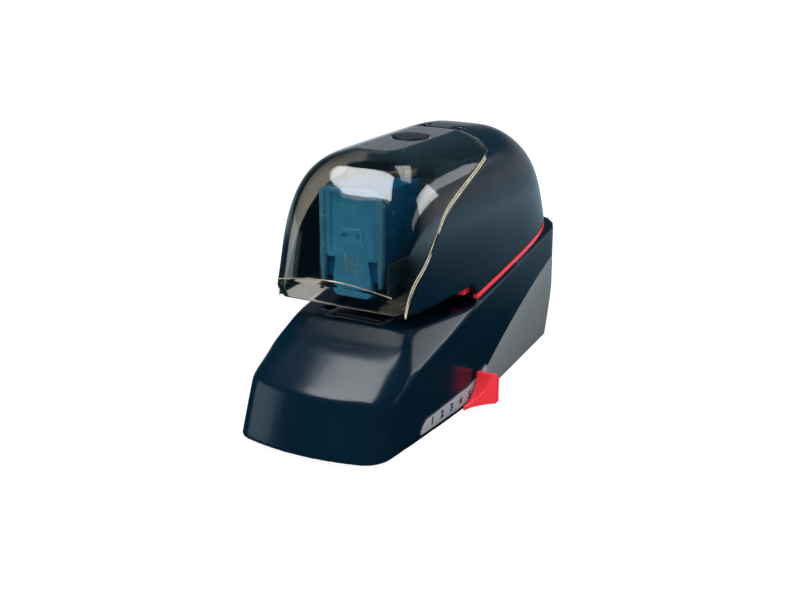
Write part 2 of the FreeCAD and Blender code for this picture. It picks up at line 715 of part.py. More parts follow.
def make_chassis():
    """Two steel side plates, their spacers, the throat's liner and the shelves of the guide rods."""
    outline = [("-70", "38"), ("9", "38"), ("9", "shell_floor + plate_thickness"),
               ("92", "shell_floor + plate_thickness"), ("88", "112"), ("56", "136"), ("-24", "138"),
               ("-24", "76"), ("6.6", "76"), ("6.6", "54"), ("-70", "54")]
    plate = profile_body("right_plate", "YZ_Plane", outline, "chassis_inner", "chassis_thickness")
    cut_through(plate, "YZ_Plane", circles=[
        ("cam_back", "cam_height", "axle_radius"), ("lever_back", "lever_height", "axle_radius"),
        ("idler_back", "idler_height", "small_axle_radius"),
    ])
    plate.Label = "right_chassis_plate"
    keep(plate)
    other = twin("left_chassis_plate", plate)
    keep(other)

    spots = (("14", "9"), ("86", "38"), ("82", "106"), ("46", "126"))
    keep(group("chassis_spacers", [
        rod(f"spacer_{count}", "x", "3", "-1 * chassis_inner", "chassis_inner", back, height)
        for count, (back, height) in enumerate(spots)]))

    rear_wall = num("throat_rear")
    top = num("throat_top") + 0.4
    liner = block((-42.6, 42.6), (rear_wall, rear_wall + 2), (num("deck_height"), top + 2))
    ceiling = block((-50, 50), (-76, rear_wall), (top, top + 2))
    ceiling = ceiling.cut(block((-22.6, 22.6), (-80, -20.6), (60, 80)))
    keep_shape("throat_liner", liner.fuse(ceiling).common(head_form(num("skin") + 0.3)).removeSplitter())

    for name, low in (("lower_rod_shelf", "rod_foot"), ("upper_rod_shelf", "rod_top - 3")):
        shelf = profile_body(name, "XY_Plane", rectangle("-1 * chassis_inner", "chassis_inner",
                                                         "rod_back - 6.5", "rod_back + 7"), low, "3")
        cut_through(shelf, "XY_Plane", circles=[("rod_offset", "rod_back", "rod_radius"),
                                                ("-1 * rod_offset", "rod_back", "rod_radius")])
        keep(shelf)
    keep(group("guide_rods", [rod(f"{side}_guide_rod", "z", "rod_radius", "rod_foot", "rod_top",
                                  f"{sign} * rod_offset", "rod_back")
                              for side, sign in (("left", "-1"), ("right", "1"))]))


# ---------------------------------------------------------------- head, cassette and driver
def coil(radius, wire, height, turns, foot):
    """A helical compression spring of short straight lengths, standing on the point given."""
    per_turn, sides = 12, 6
    rings = []
    for step in range(turns * per_turn + 1):
        around = 2 * math.pi * step / per_turn
        rise = wire + (height - 2 * wire) * step / (turns * per_turn)
        out = Vector(math.cos(around), math.sin(around), 0)
        corners = []
        for corner in range(sides):
            angle = 2 * math.pi * corner / sides
            height_here = rise + wire * math.sin(angle)
            corners.append(out * (radius + wire * math.cos(angle)) + Vector(0, 0, height_here))
        rings.append(Part.makePolygon(corners + corners[:1]))
    return Part.makeLoft(rings, True, True).translated(foot)


def make_head():
    """The carriage that slides on the guide rods, with its return springs."""
    bored = "rod_radius + fit"
    plate = box("carriage_back", ("-21.8", "21.8"), ("-23", "-21"), ("84", "124"))
    floor = box("carriage_floor", ("-21.8", "21.8"), ("-60", "-21"), ("82", "cassette_floor - 0.1"))
    pieces = [plate, floor]
    bores = [box("carriage_window", ("-7", "7"), ("-25", "-19"), ("94", "121"))]
    for side, sign in (("left", "-1"), ("right", "1")):
        inner, outer = sorted((f"{sign} * 20.3", f"{sign} * 21.8"), key=num)
        pieces.append(box(f"{side}_cheek", (inner, outer), ("-64", "-21"), ("82", "94")))
        pieces.append(box(f"{side}_leg", (inner, outer), ("-64", "-57.6"), ("76", "82")))
        start, end = sorted((f"{sign} * ( rod_offset - 3 )", f"{sign} * ( rod_offset + 3 )"), key=num)
        pieces.append(box(f"{side}_bridge", (start, end), ("-21", "rod_back"), ("104", "120")))
        pieces.append(rod(f"{side}_boss", "z", "6.6", "104", "120", f"{sign} * rod_offset", "rod_back"))
        bores.append(rod(f"{side}_boss_bore", "z", bored, "100", "125", f"{sign} * rod_offset", "rod_back"))
    keep(cut("head_carriage", fuse("carriage_solid", pieces), bores))

    for side, sign in (("left", -1), ("right", 1)):
        foot = Vector(sign * num("rod_offset"), num("rod_back"), num("rod_foot") + 3.8)
        keep_shape(f"{side}_return_spring", coil(5.4, 0.6, 23.5, 8, foot))


def make_cassette():
    """Staple cassette: body with its rail, front cover with tongue, side rails and the staples."""
    half, wall = num("cassette_half_width"), num("cassette_wall")
    front_wall, rear_end = num("cassette_front") + 2.5, num("cassette_rear")
    floor, top = num("cassette_floor"), num("cassette_top")
    foot, narrow = num("tongue_foot"), num("tongue_half_width")
    shell = block((-half, half), (front_wall, rear_end), (floor, top))
    shell = shell.fuse(block((-narrow, narrow), (front_wall, front_wall + 4), (foot, floor)))
    shell = shell.cut(block((-half + wall, half - wall), (front_wall + wall, 0), (floor + wall, top - wall)))
    shell = shell.cut(block((-9.5, 9.5), (front_wall - 1, front_wall + 3), (floor + wall, top - wall)))
    shell = shell.cut(block((-7.5, 7.5), (front_wall - 1, front_wall + 1.6), (0, floor + wall + 1)))
    shell = shell.fuse(block((-5.5, 5.5), (front_wall + 2, rear_end - 1.5), (floor, floor + 7.8)))
    grips = [block((side - 1, side + 1), (rear_end - 14 + 3 * step, rear_end - 12.5 + 3 * step), (100, 124))
             for side in (-half, half) for step in range(4)]
    for grip in grips:
        shell = shell.fuse(grip)
    keep_shape("cassette_body", shell.removeSplitter())

    cover = profile_body("cassette_cover", "XZ_Plane", [
        ("-16.3", "97"), ("-15.3", "95.4"), ("-10", "95.4"), ("-1 * tongue_half_width", "86"),
        ("-1 * tongue_half_width", "tongue_foot + 2"), ("-1 * tongue_half_width + 2", "tongue_foot"),
        ("tongue_half_width - 2", "tongue_foot"), ("tongue_half_width", "tongue_foot + 2"),
        ("tongue_half_width", "86"), ("10", "95.4"), ("15.3", "95.4"), ("16.3", "97"),
        ("16.3", "cassette_top"), ("-16.3", "cassette_top"),
    ], "-1 * ( cassette_front + 2.5 )", "2.5")
    recess = box("cover_recess", ("-13", "13"), ("cassette_front - 1", "cassette_front + 0.6"), ("98", "130"))
    neck = profile_body("tongue_neck", "XZ_Plane", [
        ("-9.6", "97"), ("9.6", "97"), ("8.4", "103"), ("7", "108"), ("7", "110.5"), ("5.5", "112"),
        ("-5.5", "112"), ("-7", "110.5"), ("-7", "108"), ("-8.4", "103"),
    ], "-1 * ( cassette_front + 0.8 )", "0.8")
    eyes = [rod(f"cover_eye_{place}", "y", "1.3", "cassette_front - 1", "cassette_front + 1", place, "108")
            for place in ("-4.4", "4.4")]
    keep(cut("staple_cover", fuse("cover_solid", [cut("recessed_cover", cover, [recess]), neck]), eyes))

    for side, sign in (("left", "-1"), ("right", "1")):
        keep(profile_body(f"{side}_cassette_rail", "XZ_Plane", [
            (f"{sign} * 16.3", "cassette_top - 1"), (f"{sign} * 16.3", "94"), (f"{sign} * 16.9", "81"),
            (f"{sign} * 18.3", "81"), (f"{sign} * 19.5", "94"), (f"{sign} * 19.5", "cassette_top - 1"),
        ], "-1 * ( cassette_front + 2.5 )", "3.2"))

    crown = floor + 8.8
    outer = block((-6.5, 6.5), (front_wall + 1.8, rear_end - 3.5), (floor + 2, crown))
    core = block((-5.7, 5.7), (-FAR, 0), (floor, crown - 0.8))
    keep_shape("staple_stack", outer.cut(core))


def make_driver():
    """The driver's C-shaped block round the lever's nose, and the blade that pushes the staple."""
    jaw = num("nose_radius") + 0.6
    low, high = f"nose_height - {jaw}", f"nose_height + {jaw}"
    keep(profile_body("driver_block", "YZ_Plane", [
        ("-62.6", f"{low} - 3.4"), ("-50.5", f"{low} - 3.4"), ("-50.5", low), ("-59.8", low),
        ("-59.8", high), ("-50.5", high), ("-50.5", f"{high} + 3.4"), ("-62.6", f"{high} + 3.4"),
    ], "0", "12", True))
    keep(box("driver_blade", ("-6", "6"), ("-63.8", "-62.6"), ("92.8", "118")))


# ---------------------------------------------------------------- drive train
def gear_outline(teeth, backlash):
    """Points of one spur gear's outline about the origin: straight chords on each involute flank."""
    size = num("tooth_module")
    pitch = size * teeth / 2
    base = pitch * math.cos(math.radians(20))
    tip, root = pitch + 0.85 * size, pitch - 1.2 * size

    def spread(radius):
        angle = math.acos(min(1.0, base / radius))
        return math.tan(angle) - angle

    points = []
    for tooth in range(teeth):
        centre = 2 * math.pi * tooth / teeth
        flank = []
        for radius in (root, max(base, root) + 0.02, pitch, tip):
            half = math.pi / 2 / teeth + spread(pitch) - spread(max(radius, base)) - backlash / 2 / pitch
            flank.append((radius, half))
        points += [(r, centre - half) for r, half in flank]
        points += [(r, centre + half) for r, half in reversed(flank)]
    return [Vector(0, r * math.cos(a), r * math.sin(a)) for r, a in points]


def gear(teeth, x, place, turn=0.0, backlash=0.25):
    """A spur gear between two X planes, on an axle parallel to X; turn is in teeth."""
    outline = gear_outline(teeth, backlash)
    solid = Part.Face(Part.makePolygon(outline + outline[:1])).extrude(Vector(x[1] - x[0], 0, 0))
    solid.rotate(Vector(), Vector(1, 0, 0), 360 * turn / teeth)
    return solid.translated(Vector(x[0], *place))


def mesh_turn(driven, place, wheel, wheel_place):
    """How many teeth a gear is turned by to mesh with a wheel that has a tooth on +Y."""
    along = math.atan2(place[1] - wheel_place[1], place[0] - wheel_place[0]) / (2 * math.pi)
    return (along + 0.5) * driven + along * wheel - 0.5


def axle(radius, x, place):
    """A round bar between two X planes."""
    return Part.makeCylinder(radius, x[1] - x[0], Vector(x[0], *place), Vector(1, 0, 0))


def cam_outline():
    """The cam's edge: it follows the roller over the working sweep, then eases back."""
    sweep = math.radians(num("cam_sweep"))
    centre = complex(num("cam_back"), num("cam_height"))
    pivot = complex(num("lever_back"), num("lever_height"))
    arm = centre + complex(0, num("cam_low") + num("roller_radius")) - pivot
    full = LEVER_SWEEP
    edge = []
    for step in range(31):
        turn = sweep * step / 30
        roller = pivot + arm * complex(math.cos(full * step / 30), math.sin(full * step / 30)) - centre
        radius = abs(roller) - num("roller_radius") - 0.35
        edge.append((math.atan2(roller.imag, roller.real) - turn, radius))
    (first, low), (last, high) = edge[0], edge[-1]
    gap = 2 * math.pi - (first - last)
    for step in range(1, 8):
        share = step / 8
        edge.append((last - gap * share, low + (high - low) * (1 + math.cos(math.pi * share)) / 2))
    return [Vector(0, r * math.cos(a), r * math.sin(a)) for a, r in edge]


def make_drive():
    """Motor, pinion, idler, cam gear with cam, and the lever that the cam lifts."""
    cam_place = (num("cam_back"), num("cam_height"))
    idler_place = (num("idler_back"), num("idler_height"))
    inner = num("chassis_inner")
    ends = (-inner - num("chassis_thickness"), inner + num("chassis_thickness"))
    thick, thin = num("axle_radius"), num("small_axle_radius")
    side = "( chassis_inner + chassis_thickness )"
    for name, size in (("cam", "axle_radius"), ("lever", "axle_radius"), ("idler", "small_axle_radius")):
        keep(rod(f"{name}_axle", "x", size, f"-1 * {side}", side, f"{name}_back", f"{name}_height"))

    curve = Part.BSplineCurve()
    curve.interpolate(Points=cam_outline(), PeriodicFlag=True)
    disc = Part.Face(Part.Wire([curve.toShape()])).extrude(Vector(8, 0, 0)).translated(Vector(-4, *cam_place))
    disc = disc.fuse(axle(10, (4, 8), cam_place)).fuse(axle(6, (-18, -4), cam_place))
    keep_shape("drive_cam", disc.cut(axle(thick + num("fit"), ends, cam_place)))

    wheel = gear(int(num("cam_teeth")), (8, 14), cam_place)
    for spoke in range(6):
        around = math.radians(60 * spoke + 30)
        spot = (cam_place[0] + 18 * math.cos(around), cam_place[1] + 18 * math.sin(around))
        wheel = wheel.cut(axle(5, ends, spot))
    wheel = wheel.fuse(axle(7, (14, 24), cam_place))
    keep_shape("cam_gear", wheel.cut(axle(thick + num("fit"), ends, cam_place)))

    teeth = {name: int(num(name + "_teeth")) for name in ("cam", "idler_small", "idler_big", "pinion")}
    turn = mesh_turn(teeth["idler_small"], idler_place, teeth["cam"], cam_place)
    small = gear(teeth["idler_small"], (7.5, 14.5), idler_place, turn)
    large = gear(teeth["idler_big"], (17, 22), idler_place)
    idler = small.fuse(large).fuse(axle(5.4, (7.5, 24), idler_place))
    keep_shape("idler_gear", idler.cut(axle(thin + num("fit"), ends, idler_place)))

    span = num("tooth_module") * (num("idler_big_teeth") + num("pinion_teeth")) / 2
    fall = math.radians(MOTOR_BELOW)
    motor_place = (idler_place[0] - span * math.cos(fall), idler_place[1] - span * math.sin(fall))
    shaft = num("motor_shaft_radius")
    can = axle(num("motor_radius"), (-inner, 10), motor_place).fuse(axle(6, (10, 12), motor_place))
    can = can.makeFillet(1.5, [e for e in can.Edges if len(e.Vertexes) == 1 and e.Curve.Radius > 15
                               and e.CenterOfMass.x > 9])
    keep_shape("motor", can.cut(axle(shaft + num("fit"), (-6, 13), motor_place)))
    turn = mesh_turn(teeth["pinion"], motor_place, teeth["idler_big"], idler_place)
    pinion = gear(teeth["pinion"], (16.5, 22.5), motor_place, turn)
    keep_shape("motor_pinion", pinion.fuse(axle(shaft, (-5.9, 24), motor_place)).fuse(
        axle(4, (14, 16.5), motor_place)))

    arm = profile_body("lever_arm", "YZ_Plane", [
        ("nose_back", "nose_height - 2.6"), ("lever_back", "lever_height - 6"),
        ("lever_back", "lever_height + 6"), ("nose_back", "nose_height + 2.6")], "0", "8", True)
    tail = profile_body("lever_tail", "YZ_Plane", [
        ("lever_back", "lever_height - 6"), ("lever_back + 15", "lever_height - 11"),
        ("lever_back + 15", "lever_height"), ("lever_back", "lever_height + 7")], "0", "15", True)
    roller_height = "( cam_height + cam_low + roller_radius )"
    fork = profile_body("lever_fork", "YZ_Plane", [
        ("lever_back + 9", "lever_height - 9"), ("cam_back - 5", f"{roller_height} - 5"),
        ("cam_back + 3", f"{roller_height} - 5"), ("cam_back + 5", f"{roller_height} - 3"),
        ("cam_back + 5", f"{roller_height} + 3"), ("cam_back + 3", f"{roller_height} + 5"),
        ("lever_back + 9", "lever_height + 3")], "0", "15", True)
    gap = box("fork_gap", ("-5", "5"), ("lever_back + 15", "cam_back + 9"), ("70", "110"))
    nose = rod("lever_nose", "x", "nose_radius", "-4", "4", "nose_back", "nose_height")
    boss = rod("lever_boss", "x", "9", "-12", "12", "lever_back", "lever_height")
    bore = rod("lever_bore", "x", "axle_radius + fit", "-30", "30", "lever_back", "lever_height")
    forked = cut("lever_forked", fuse("lever_solid", [arm, tail, fork, nose, boss]), [gap, bore])
    pin = rod("roller_pin", "x", "1.5", "-7.5", "7.5", "cam_back", roller_height)
    keep(fuse("drive_lever", [forked, pin]))
    wheel = rod("roller_wheel", "x", "roller_radius", "-4.5", "4.5", "cam_back", roller_height)
    hole = rod("roller_bore", "x", "1.5 + fit", "-5", "5", "cam_back", roller_height)
    keep(cut("cam_roller", wheel, [hole]))


# ---------------------------------------------------------------- button and latch
def make_button():
    """Round release button on its sprung stem, its guide, and the latch that the stem's cone pushes back."""
    place = ("0", "button_back")
    cap = rod("button_cap", "z", "button_radius", "button_foot", "button_top", *place)
    stem = rod("button_stem", "z", "stem_radius", "stem_foot + 2.3", "button_foot", *place)
    tip = doc.addObject("Part::Cone", "button_tip")
    tip.setExpression("Radius1", "0.5 mm")
    tip.setExpression("Radius2", bound("stem_radius"))
    tip.setExpression("Height", "2.3 mm")
    tip.setExpression("Placement.Base.y", bound("button_back"))
    tip.setExpression("Placement.Base.z", bound("stem_foot"))
    keep(fuse("release_button", [cap, stem, tip]))

    bridge = box("guide_bridge", ("-1 * chassis_inner", "chassis_inner"), ("-6.8", "8"),
                 ("bridge_foot", "bridge_top"))
    pieces = [bridge]
    for side, sign in (("left", "-1"), ("right", "1")):
        inner, outer = sorted((f"{sign} * 6.2", f"{sign} * 8"), key=num)
        pieces.append(box(f"{side}_latch_rail", (inner, outer), ("-6.8", "8"), ("129.4", "bridge_foot")))
        inner, outer = sorted((f"{sign} * 4.8", f"{sign} * 8"), key=num)
        pieces.append(box(f"{side}_latch_lip", (inner, outer), ("-6.8", "8"), ("129.4", "130.2")))
    hole = rod("guide_bore", "z", "stem_radius + fit", "125", "140", *place)
    keep(cut("button_guide", fuse("guide_solid", pieces), [hole]))

    plate = box("latch_plate", ("-6", "6"), ("-15.7", "8"), ("130.5", "133.2"))
    window = box("latch_window", ("-3.3", "3.3"), ("-8", "-1"), ("129", "135"))
    keep(cut("hood_latch", plate, [window]))

    foot = Vector(0, num("button_back"), num("bridge_top") + 0.5)
    keep_shape("button_spring", coil(4.2, 0.45, num("button_foot") - num("bridge_top") - 1, 4, foot))


# ---------------------------------------------------------------- depth stop and paper trigger
def make_depth_stop():
    """Slider across the base with two uprights, the stop bar in the throat and a knob at each side."""
    start = num("stop_front")
    low = num("slot_low") + 0.3
    thick = num("slot_high") - num("slot_low") - 0.6
    bar = block((-40, 40), (-18, -12), (low, 12))
    arms = block((-48.9, 48.9), (-18, -12), (low, low + thick))
    slider = bar.fuse(arms)
    reach = num("upright_offset")
    for side in (-reach, reach):
        slider = slider.fuse(block((side - 2, side + 2), (-18, -7), (low, 14)))
        slider = slider.fuse(block((side - 2, side + 2), (start, -7), (low, 62.4)))
    keep_shape("depth_slider", slider.removeSplitter())

    stop = box("stop_bar", ("-1 * stop_half_width", "stop_half_width"), ("stop_front", "stop_rear"),
               ("62.4", "71"))
    deep = ("stop_front - 1", "stop_rear + 1")
    reliefs = [box("stop_notch", ("-3", "3"), deep, ("60", "67.4")),
               box("left_relief", ("-1 * stop_half_width - 1", "-28"), deep, ("60", "66")),
               box("right_relief", ("28", "stop_half_width + 1"), deep, ("60", "66"))]
    keep(cut("paper_stop", stop, reliefs))

    back, tip = num("knob_rear"), num("knob_front")
    side = [Vector(0, tip, 4.2), Vector(0, back - 5, 3.6), Vector(0, back, 3.6), Vector(0, back, 17),
            Vector(0, back - 2.2, 20.6), Vector(0, back - 7, 21.8), Vector(0, tip, 7)]
    hollow = Part.Arc(side[5], Vector(0, tip + 13, 11.4), side[6]).toShape()
    crown = Part.Arc(side[3], side[4], side[5]).toShape()
    edges = [Part.makeLine(a, b) for a, b in zip(side[:3], side[1:4])] + [crown, hollow,
                                                                        Part.makeLine(side[6], side[0])]
    form = Part.Face(Part.Wire(edges)).extrude(Vector(80, 0, 0))
    inner = 48.9
    outer = [Vector(inner, tip, 0), Vector(inner + 1, tip, 0), Vector(60.5, back - 5, 0), Vector(60, back, 0),
             Vector(inner, back, 0)]
    bulge = Part.Arc(outer[1], Vector(52.6, tip + 9, 0), outer[2]).toShape()
    edges = [Part.makeLine(outer[0], outer[1]), bulge, Part.makeLine(outer[2], outer[3]),
             Part.makeLine(outer[3], outer[4]), Part.makeLine(outer[4], outer[0])]
    plan = Part.Face(Part.Wire(edges)).extrude(Vector(0, 0, 40))
    knob = form.common(plan)
    keep_shape("right_depth_knob", knob)
    keep_shape("left_depth_knob", mirrored(knob))


def make_paper_trigger():
    """The humped lever that the paper's edge pushes down, its bracket and switch."""
    pivot = (-20, 54)
    hump = Part.Face(Part.makePolygon([Vector(-1.5, y, z) for y, z in (
        (-38.4, 59.6), (-38.4, 57), (-30, 51.5), (-20, 51), (-20, 57), (-24, 57.4), (-26.2, 60), (-28, 64.6),
        (-30, 66), (-32, 65.6), (-38.4, 59.6))])).extrude(Vector(3, 0, 0))
    lever = hump.fuse(axle(3, (-1.5, 1.5), pivot)).cut(axle(1.25, (-5, 5), pivot))
    keep_shape("paper_trigger", lever.removeSplitter())
    bracket = block((-3.4, 3.4), (-26, -14), (48, num("deck_height") - num("wall")))
    bracket = bracket.cut(block((-2.1, 2.1), (-27, -15.5), (40, 60)))
    keep_shape("trigger_bracket", bracket.fuse(axle(1.2, (-3.4, 3.4), pivot)))
    keep(box("trigger_switch", ("-3.4", "3.4"), ("-26", "-14"), ("42", "48")))


# ---------------------------------------------------------------- mains side
def make_mains():
    """Mains inlet and rocker switch in the rear wall, circuit board and transformer."""
    wall = num("panel_back")
    flange = block((-28, -1), (wall, wall + 1.5), (19.5, 40.5)).fuse(
        block((-26, -3), (wall - 15, wall), (21, 39)))
    socket = block((-24.5, -4.5), (wall - 12, wall + 5), (22.5, 37.5))
    inlet = flange.cut(socket)
    for x, z in ((-14.5, 33), (-20.5, 27), (-8.5, 27)):
        inlet = inlet.fuse(block((x - 1, x + 1), (wall - 13, wall - 3.6), (z - 2, z + 2)))
    keep_shape("mains_inlet", inlet.removeSplitter())

    frame = block((7.5, 23.5), (wall, wall + 1.2), (18, 42))
    frame = frame.fuse(block((8.5, 22.5), (wall - 13, wall), (19, 41)))
    keep_shape("switch_frame", frame.cut(block((9.2, 21.8), (wall - 12, wall + 5), (19.7, 40.3))))
    pivot = Vector(0, wall - 6, 30)
    outline = [(wall - 6, 33), (wall - 6, 27), (wall - 4.5, 22), (wall + 1.6, 21), (wall, 30),
               (wall + 1.6, 39), (wall - 4.5, 38)]
    rocker = side_slab(outline).common(block((9.6, 21.4), (0, FAR), (0, 60)))
    rocker = rocker.fuse(axle(1.5, (9.25, 21.75), (wall - 6, 30)))
    rocker.rotate(pivot, Vector(1, 0, 0), -6)
    keep_shape("rocker_switch", rocker)

    inner = -num("chassis_inner") - num("chassis_thickness")
    board = block((inner - 4.6, inner - 3), (20, 84), (24, 72))
    for y, z in ((24, 28), (80, 28), (24, 68), (80, 68)):
        board = board.fuse(axle(2, (inner - 3, inner), (y, z)))
    board = board.fuse(block((inner - 9, inner - 4.6), (30, 46), (50, 64)))
    for y in (62, 72):
        board = board.fuse(axle(4, (inner - 9, inner - 4.6), (y, 60)))
    keep_shape("circuit_board", board.removeSplitter())

    floor = num("shell_floor") + num("plate_thickness")
    core = block((-22, 22), (66, 82), (floor, floor + 26))
    winding = block((-15, 15), (62, 86), (floor + 4, floor + 22))
    keep_shape("transformer", core.fuse(winding))


make_lower_housing()
make_base_details()
make_upper_housing()
make_hood()
make_anvil()
make_chassis()
make_head()
make_cassette()
make_driver()
make_drive()
make_button()
make_depth_stop()
make_paper_trigger()
make_mains()
doc.recompute()

# ---------------------------------------------------------------- check, then write
failed = [item.Label for item in doc.Objects if {"Invalid", "Error"} & set(item.State)]
failed += [item.Label for item in NODES if item.Shape.isNull() or not item.Shape.isValid()]
if failed:
    raise RuntimeError("not built: " + ", ".join(failed))
os.makedirs("parts", exist_ok=True)
for item in NODES:
    item.Shape.exportStep(f"parts/{item.Label}.step")
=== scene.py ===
"""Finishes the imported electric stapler: moulded skins, clear hood, cassette, scale numbers and studio."""

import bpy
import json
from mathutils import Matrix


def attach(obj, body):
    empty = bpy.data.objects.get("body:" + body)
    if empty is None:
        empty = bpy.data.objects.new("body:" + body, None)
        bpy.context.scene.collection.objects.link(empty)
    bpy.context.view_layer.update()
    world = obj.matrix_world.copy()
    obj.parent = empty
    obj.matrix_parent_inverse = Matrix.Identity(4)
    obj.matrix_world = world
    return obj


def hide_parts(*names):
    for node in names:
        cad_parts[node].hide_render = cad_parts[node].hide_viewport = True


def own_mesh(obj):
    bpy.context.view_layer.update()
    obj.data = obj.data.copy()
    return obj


bl_info = {
    "name": "Electric Stapler",
    "version": (1, 0, 0),
    "blender": (4, 5, 0),
    "location": "View3D > Sidebar > Stapler",
    "description": "Finishes the parts of a cam-driven office stapler and sets up its studio",
    "category": "Object",
}

import json
import math

import bmesh
import bpy
from bpy.props import FloatProperty, IntProperty, PointerProperty, StringProperty
from bpy.types import Operator, Panel, PropertyGroup
from mathutils import Matrix, Vector
from mathutils.bvhtree import BVHTree
from mathutils.kdtree import KDTree

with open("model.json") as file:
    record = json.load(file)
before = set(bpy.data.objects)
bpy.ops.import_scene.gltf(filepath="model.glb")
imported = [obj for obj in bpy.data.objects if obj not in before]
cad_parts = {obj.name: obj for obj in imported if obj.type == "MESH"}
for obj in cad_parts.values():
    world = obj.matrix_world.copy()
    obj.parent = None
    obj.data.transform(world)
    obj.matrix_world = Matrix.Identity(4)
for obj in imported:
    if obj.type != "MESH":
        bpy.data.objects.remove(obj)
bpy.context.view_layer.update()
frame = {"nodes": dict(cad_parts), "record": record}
NODES = frame["nodes"]
RECORD = frame["record"]
NODE_BODY = {node: body for body, nodes in RECORD["behaviour"]["bodies"].items() for node in nodes}
NODE_SLOT = {part["node"]: part["material_slot"] for part in RECORD["subparts"]}
MM = 0.001

# Most of a noise's values lie between these two.
NOISE_LOW, NOISE_HIGH = 0.3, 0.7
# A colour Mix node's sockets go by number, because their names repeat.
MIX_SHARE, MIX_FIRST, MIX_SECOND, MIX_COLOUR = 0, 6, 7, 2
# Triangles of one piece, past which its inner walls are thinned.
TRIANGLE_LIMIT = 190000


# ---------------------------------------------------------------- sizes and colours a user would change
class StaplerSizes(PropertyGroup):
    """Small sizes of the finishing pieces."""

    numeral_height: FloatProperty(name="Numeral height", description="Height of the depth scale's numbers",
                                  default=4.6 * MM, unit="LENGTH")
    numeral_pitch: FloatProperty(name="Numeral pitch", description="From one number to the next",
                                 default=10.9 * MM, unit="LENGTH")
    numeral_count: IntProperty(name="Numbers", description="How many numbers the scale has", default=5)
    first_numeral: FloatProperty(name="First number", description="Place of number one along the stapler",
                                 default=-63.5 * MM, unit="LENGTH")
    ink_thickness: FloatProperty(name="Ink thickness", description="How far the print stands proud",
                                 default=0.04 * MM, unit="LENGTH")


class StaplerColours(PropertyGroup):
    """Colours of the mouldings, as sRGB hex values."""

    housing: StringProperty(name="Housing", description="Satin black blue of the housing",
                            default="#001422")
    panel: StringProperty(name="Corner panel", description="Grey of the rear corner panels",
                          default="#6C7275")
    scale: StringProperty(name="Scale plate", description="Silver grey of the scale plates",
                          default="#A9A9B2")
    signal: StringProperty(name="Signal red", description="Red of knobs, stop and trim", default="#F03642")
    hood: StringProperty(name="Hood", description="Smoke tint of the clear hood", default="#83744B")
    cassette: StringProperty(name="Cassette", description="Blue of the cassette", default="#52C0FF")


def hex_colour(text):
    """An sRGB hex value as linear red, green, blue and alpha."""
    channels = []
    for start in (1, 3, 5):
        value = int(text[start:start + 2], 16) / 255
        channels.append(value / 12.92 if value <= 0.04045 else ((value + 0.055) / 1.055) ** 2.4)
    return (*channels, 1.0)


def shade(colour, factor):
    """A linear colour made darker or lighter by a factor."""
    return tuple(channel * factor for channel in colour[:3]) + (1.0,)


# ---------------------------------------------------------------- materials
def add_node(tree, kind, settings=None, links=None):
    """Add a node, set its attributes or sockets, and link its inputs to other nodes' outputs."""
    node = tree.nodes.new(kind)
    for name, value in (settings or {}).items():
        if isinstance(name, int) or name in node.inputs:
            node.inputs[name].default_value = value
        else:
            setattr(node, name, value)
    for name, (source, output) in (links or {}).items():
        tree.links.new(source.outputs[output], node.inputs[name])
    return node


def new_material(name, settings):
    """A material with a Principled shader of the given settings; returns the material, tree and shader."""
    material = bpy.data.materials.new(name)
    material.use_nodes = True
    tree = material.node_tree
    shader = tree.nodes["Principled BSDF"]
    for key, value in settings.items():
        shader.inputs[key].default_value = value
    return material, tree, shader


def surface_noise(tree, size, detail=2.0):
    """Object-space noise whose grains are about the given size in millimetres."""
    place = add_node(tree, "ShaderNodeTexCoord")
    return add_node(tree, "ShaderNodeTexNoise", {"Scale": 1 / (size * MM), "Detail": detail},
                    {"Vector": (place, "Object")})


def vary_roughness(tree, shader, source, low, high):
    """Drive the roughness by a noise, between two values."""
    ramp = add_node(tree, "ShaderNodeMapRange",
                    {"From Min": NOISE_LOW, "From Max": NOISE_HIGH, "To Min": low, "To Max": high},
                    {"Value": (source, "Fac")})
    tree.links.new(ramp.outputs["Result"], shader.inputs["Roughness"])


def tint(tree, shader, source, dark, light):
    """Mix two colours by a noise into the base colour."""
    ramp = add_node(tree, "ShaderNodeMapRange", {"From Min": NOISE_LOW, "From Max": NOISE_HIGH},
                    {"Value": (source, "Fac")})
    mix = add_node(tree, "ShaderNodeMix", {"data_type": "RGBA", MIX_FIRST: dark, MIX_SECOND: light},
                   {MIX_SHARE: (ramp, "Result")})
    tree.links.new(mix.outputs[MIX_COLOUR], shader.inputs["Base Color"])


def bump(tree, shader, source, depth):
    """Raise the surface by a noise, by a depth in millimetres."""
    relief = add_node(tree, "ShaderNodeBump", {"Distance": depth * MM, "Strength": 1.0},
                      {"Height": (source, "Fac")})
    tree.links.new(relief.outputs["Normal"], shader.inputs["Normal"])


def satin_abs(name, colour, roughness=0.18):
    """Injection-moulded ABS from a finely blasted mould: a deep colour under a soft, well-kept sheen."""
    material, tree, shader = new_material(name, {"IOR": 1.5})
    grain = surface_noise(tree, 0.35)
    broad = surface_noise(tree, 22.0, 3.0)
    base = hex_colour(colour)
    tint(tree, shader, broad, base, shade(base, 1.15))
    vary_roughness(tree, shader, broad, roughness - 0.01, roughness + 0.03)
    bump(tree, shader, grain, 0.003)
    return material


def textured_abs(name, colour, grain_size=0.7, depth=0.02, roughness=0.5):
    """ABS from a spark-eroded mould: an even pebbled grain that scatters the light."""
    material, tree, shader = new_material(name, {"IOR": 1.5})
    grain = surface_noise(tree, grain_size)
    base = hex_colour(colour)
    tint(tree, shader, grain, shade(base, 0.90), base)
    vary_roughness(tree, shader, grain, roughness - 0.06, roughness + 0.08)
    bump(tree, shader, grain, depth)
    return material


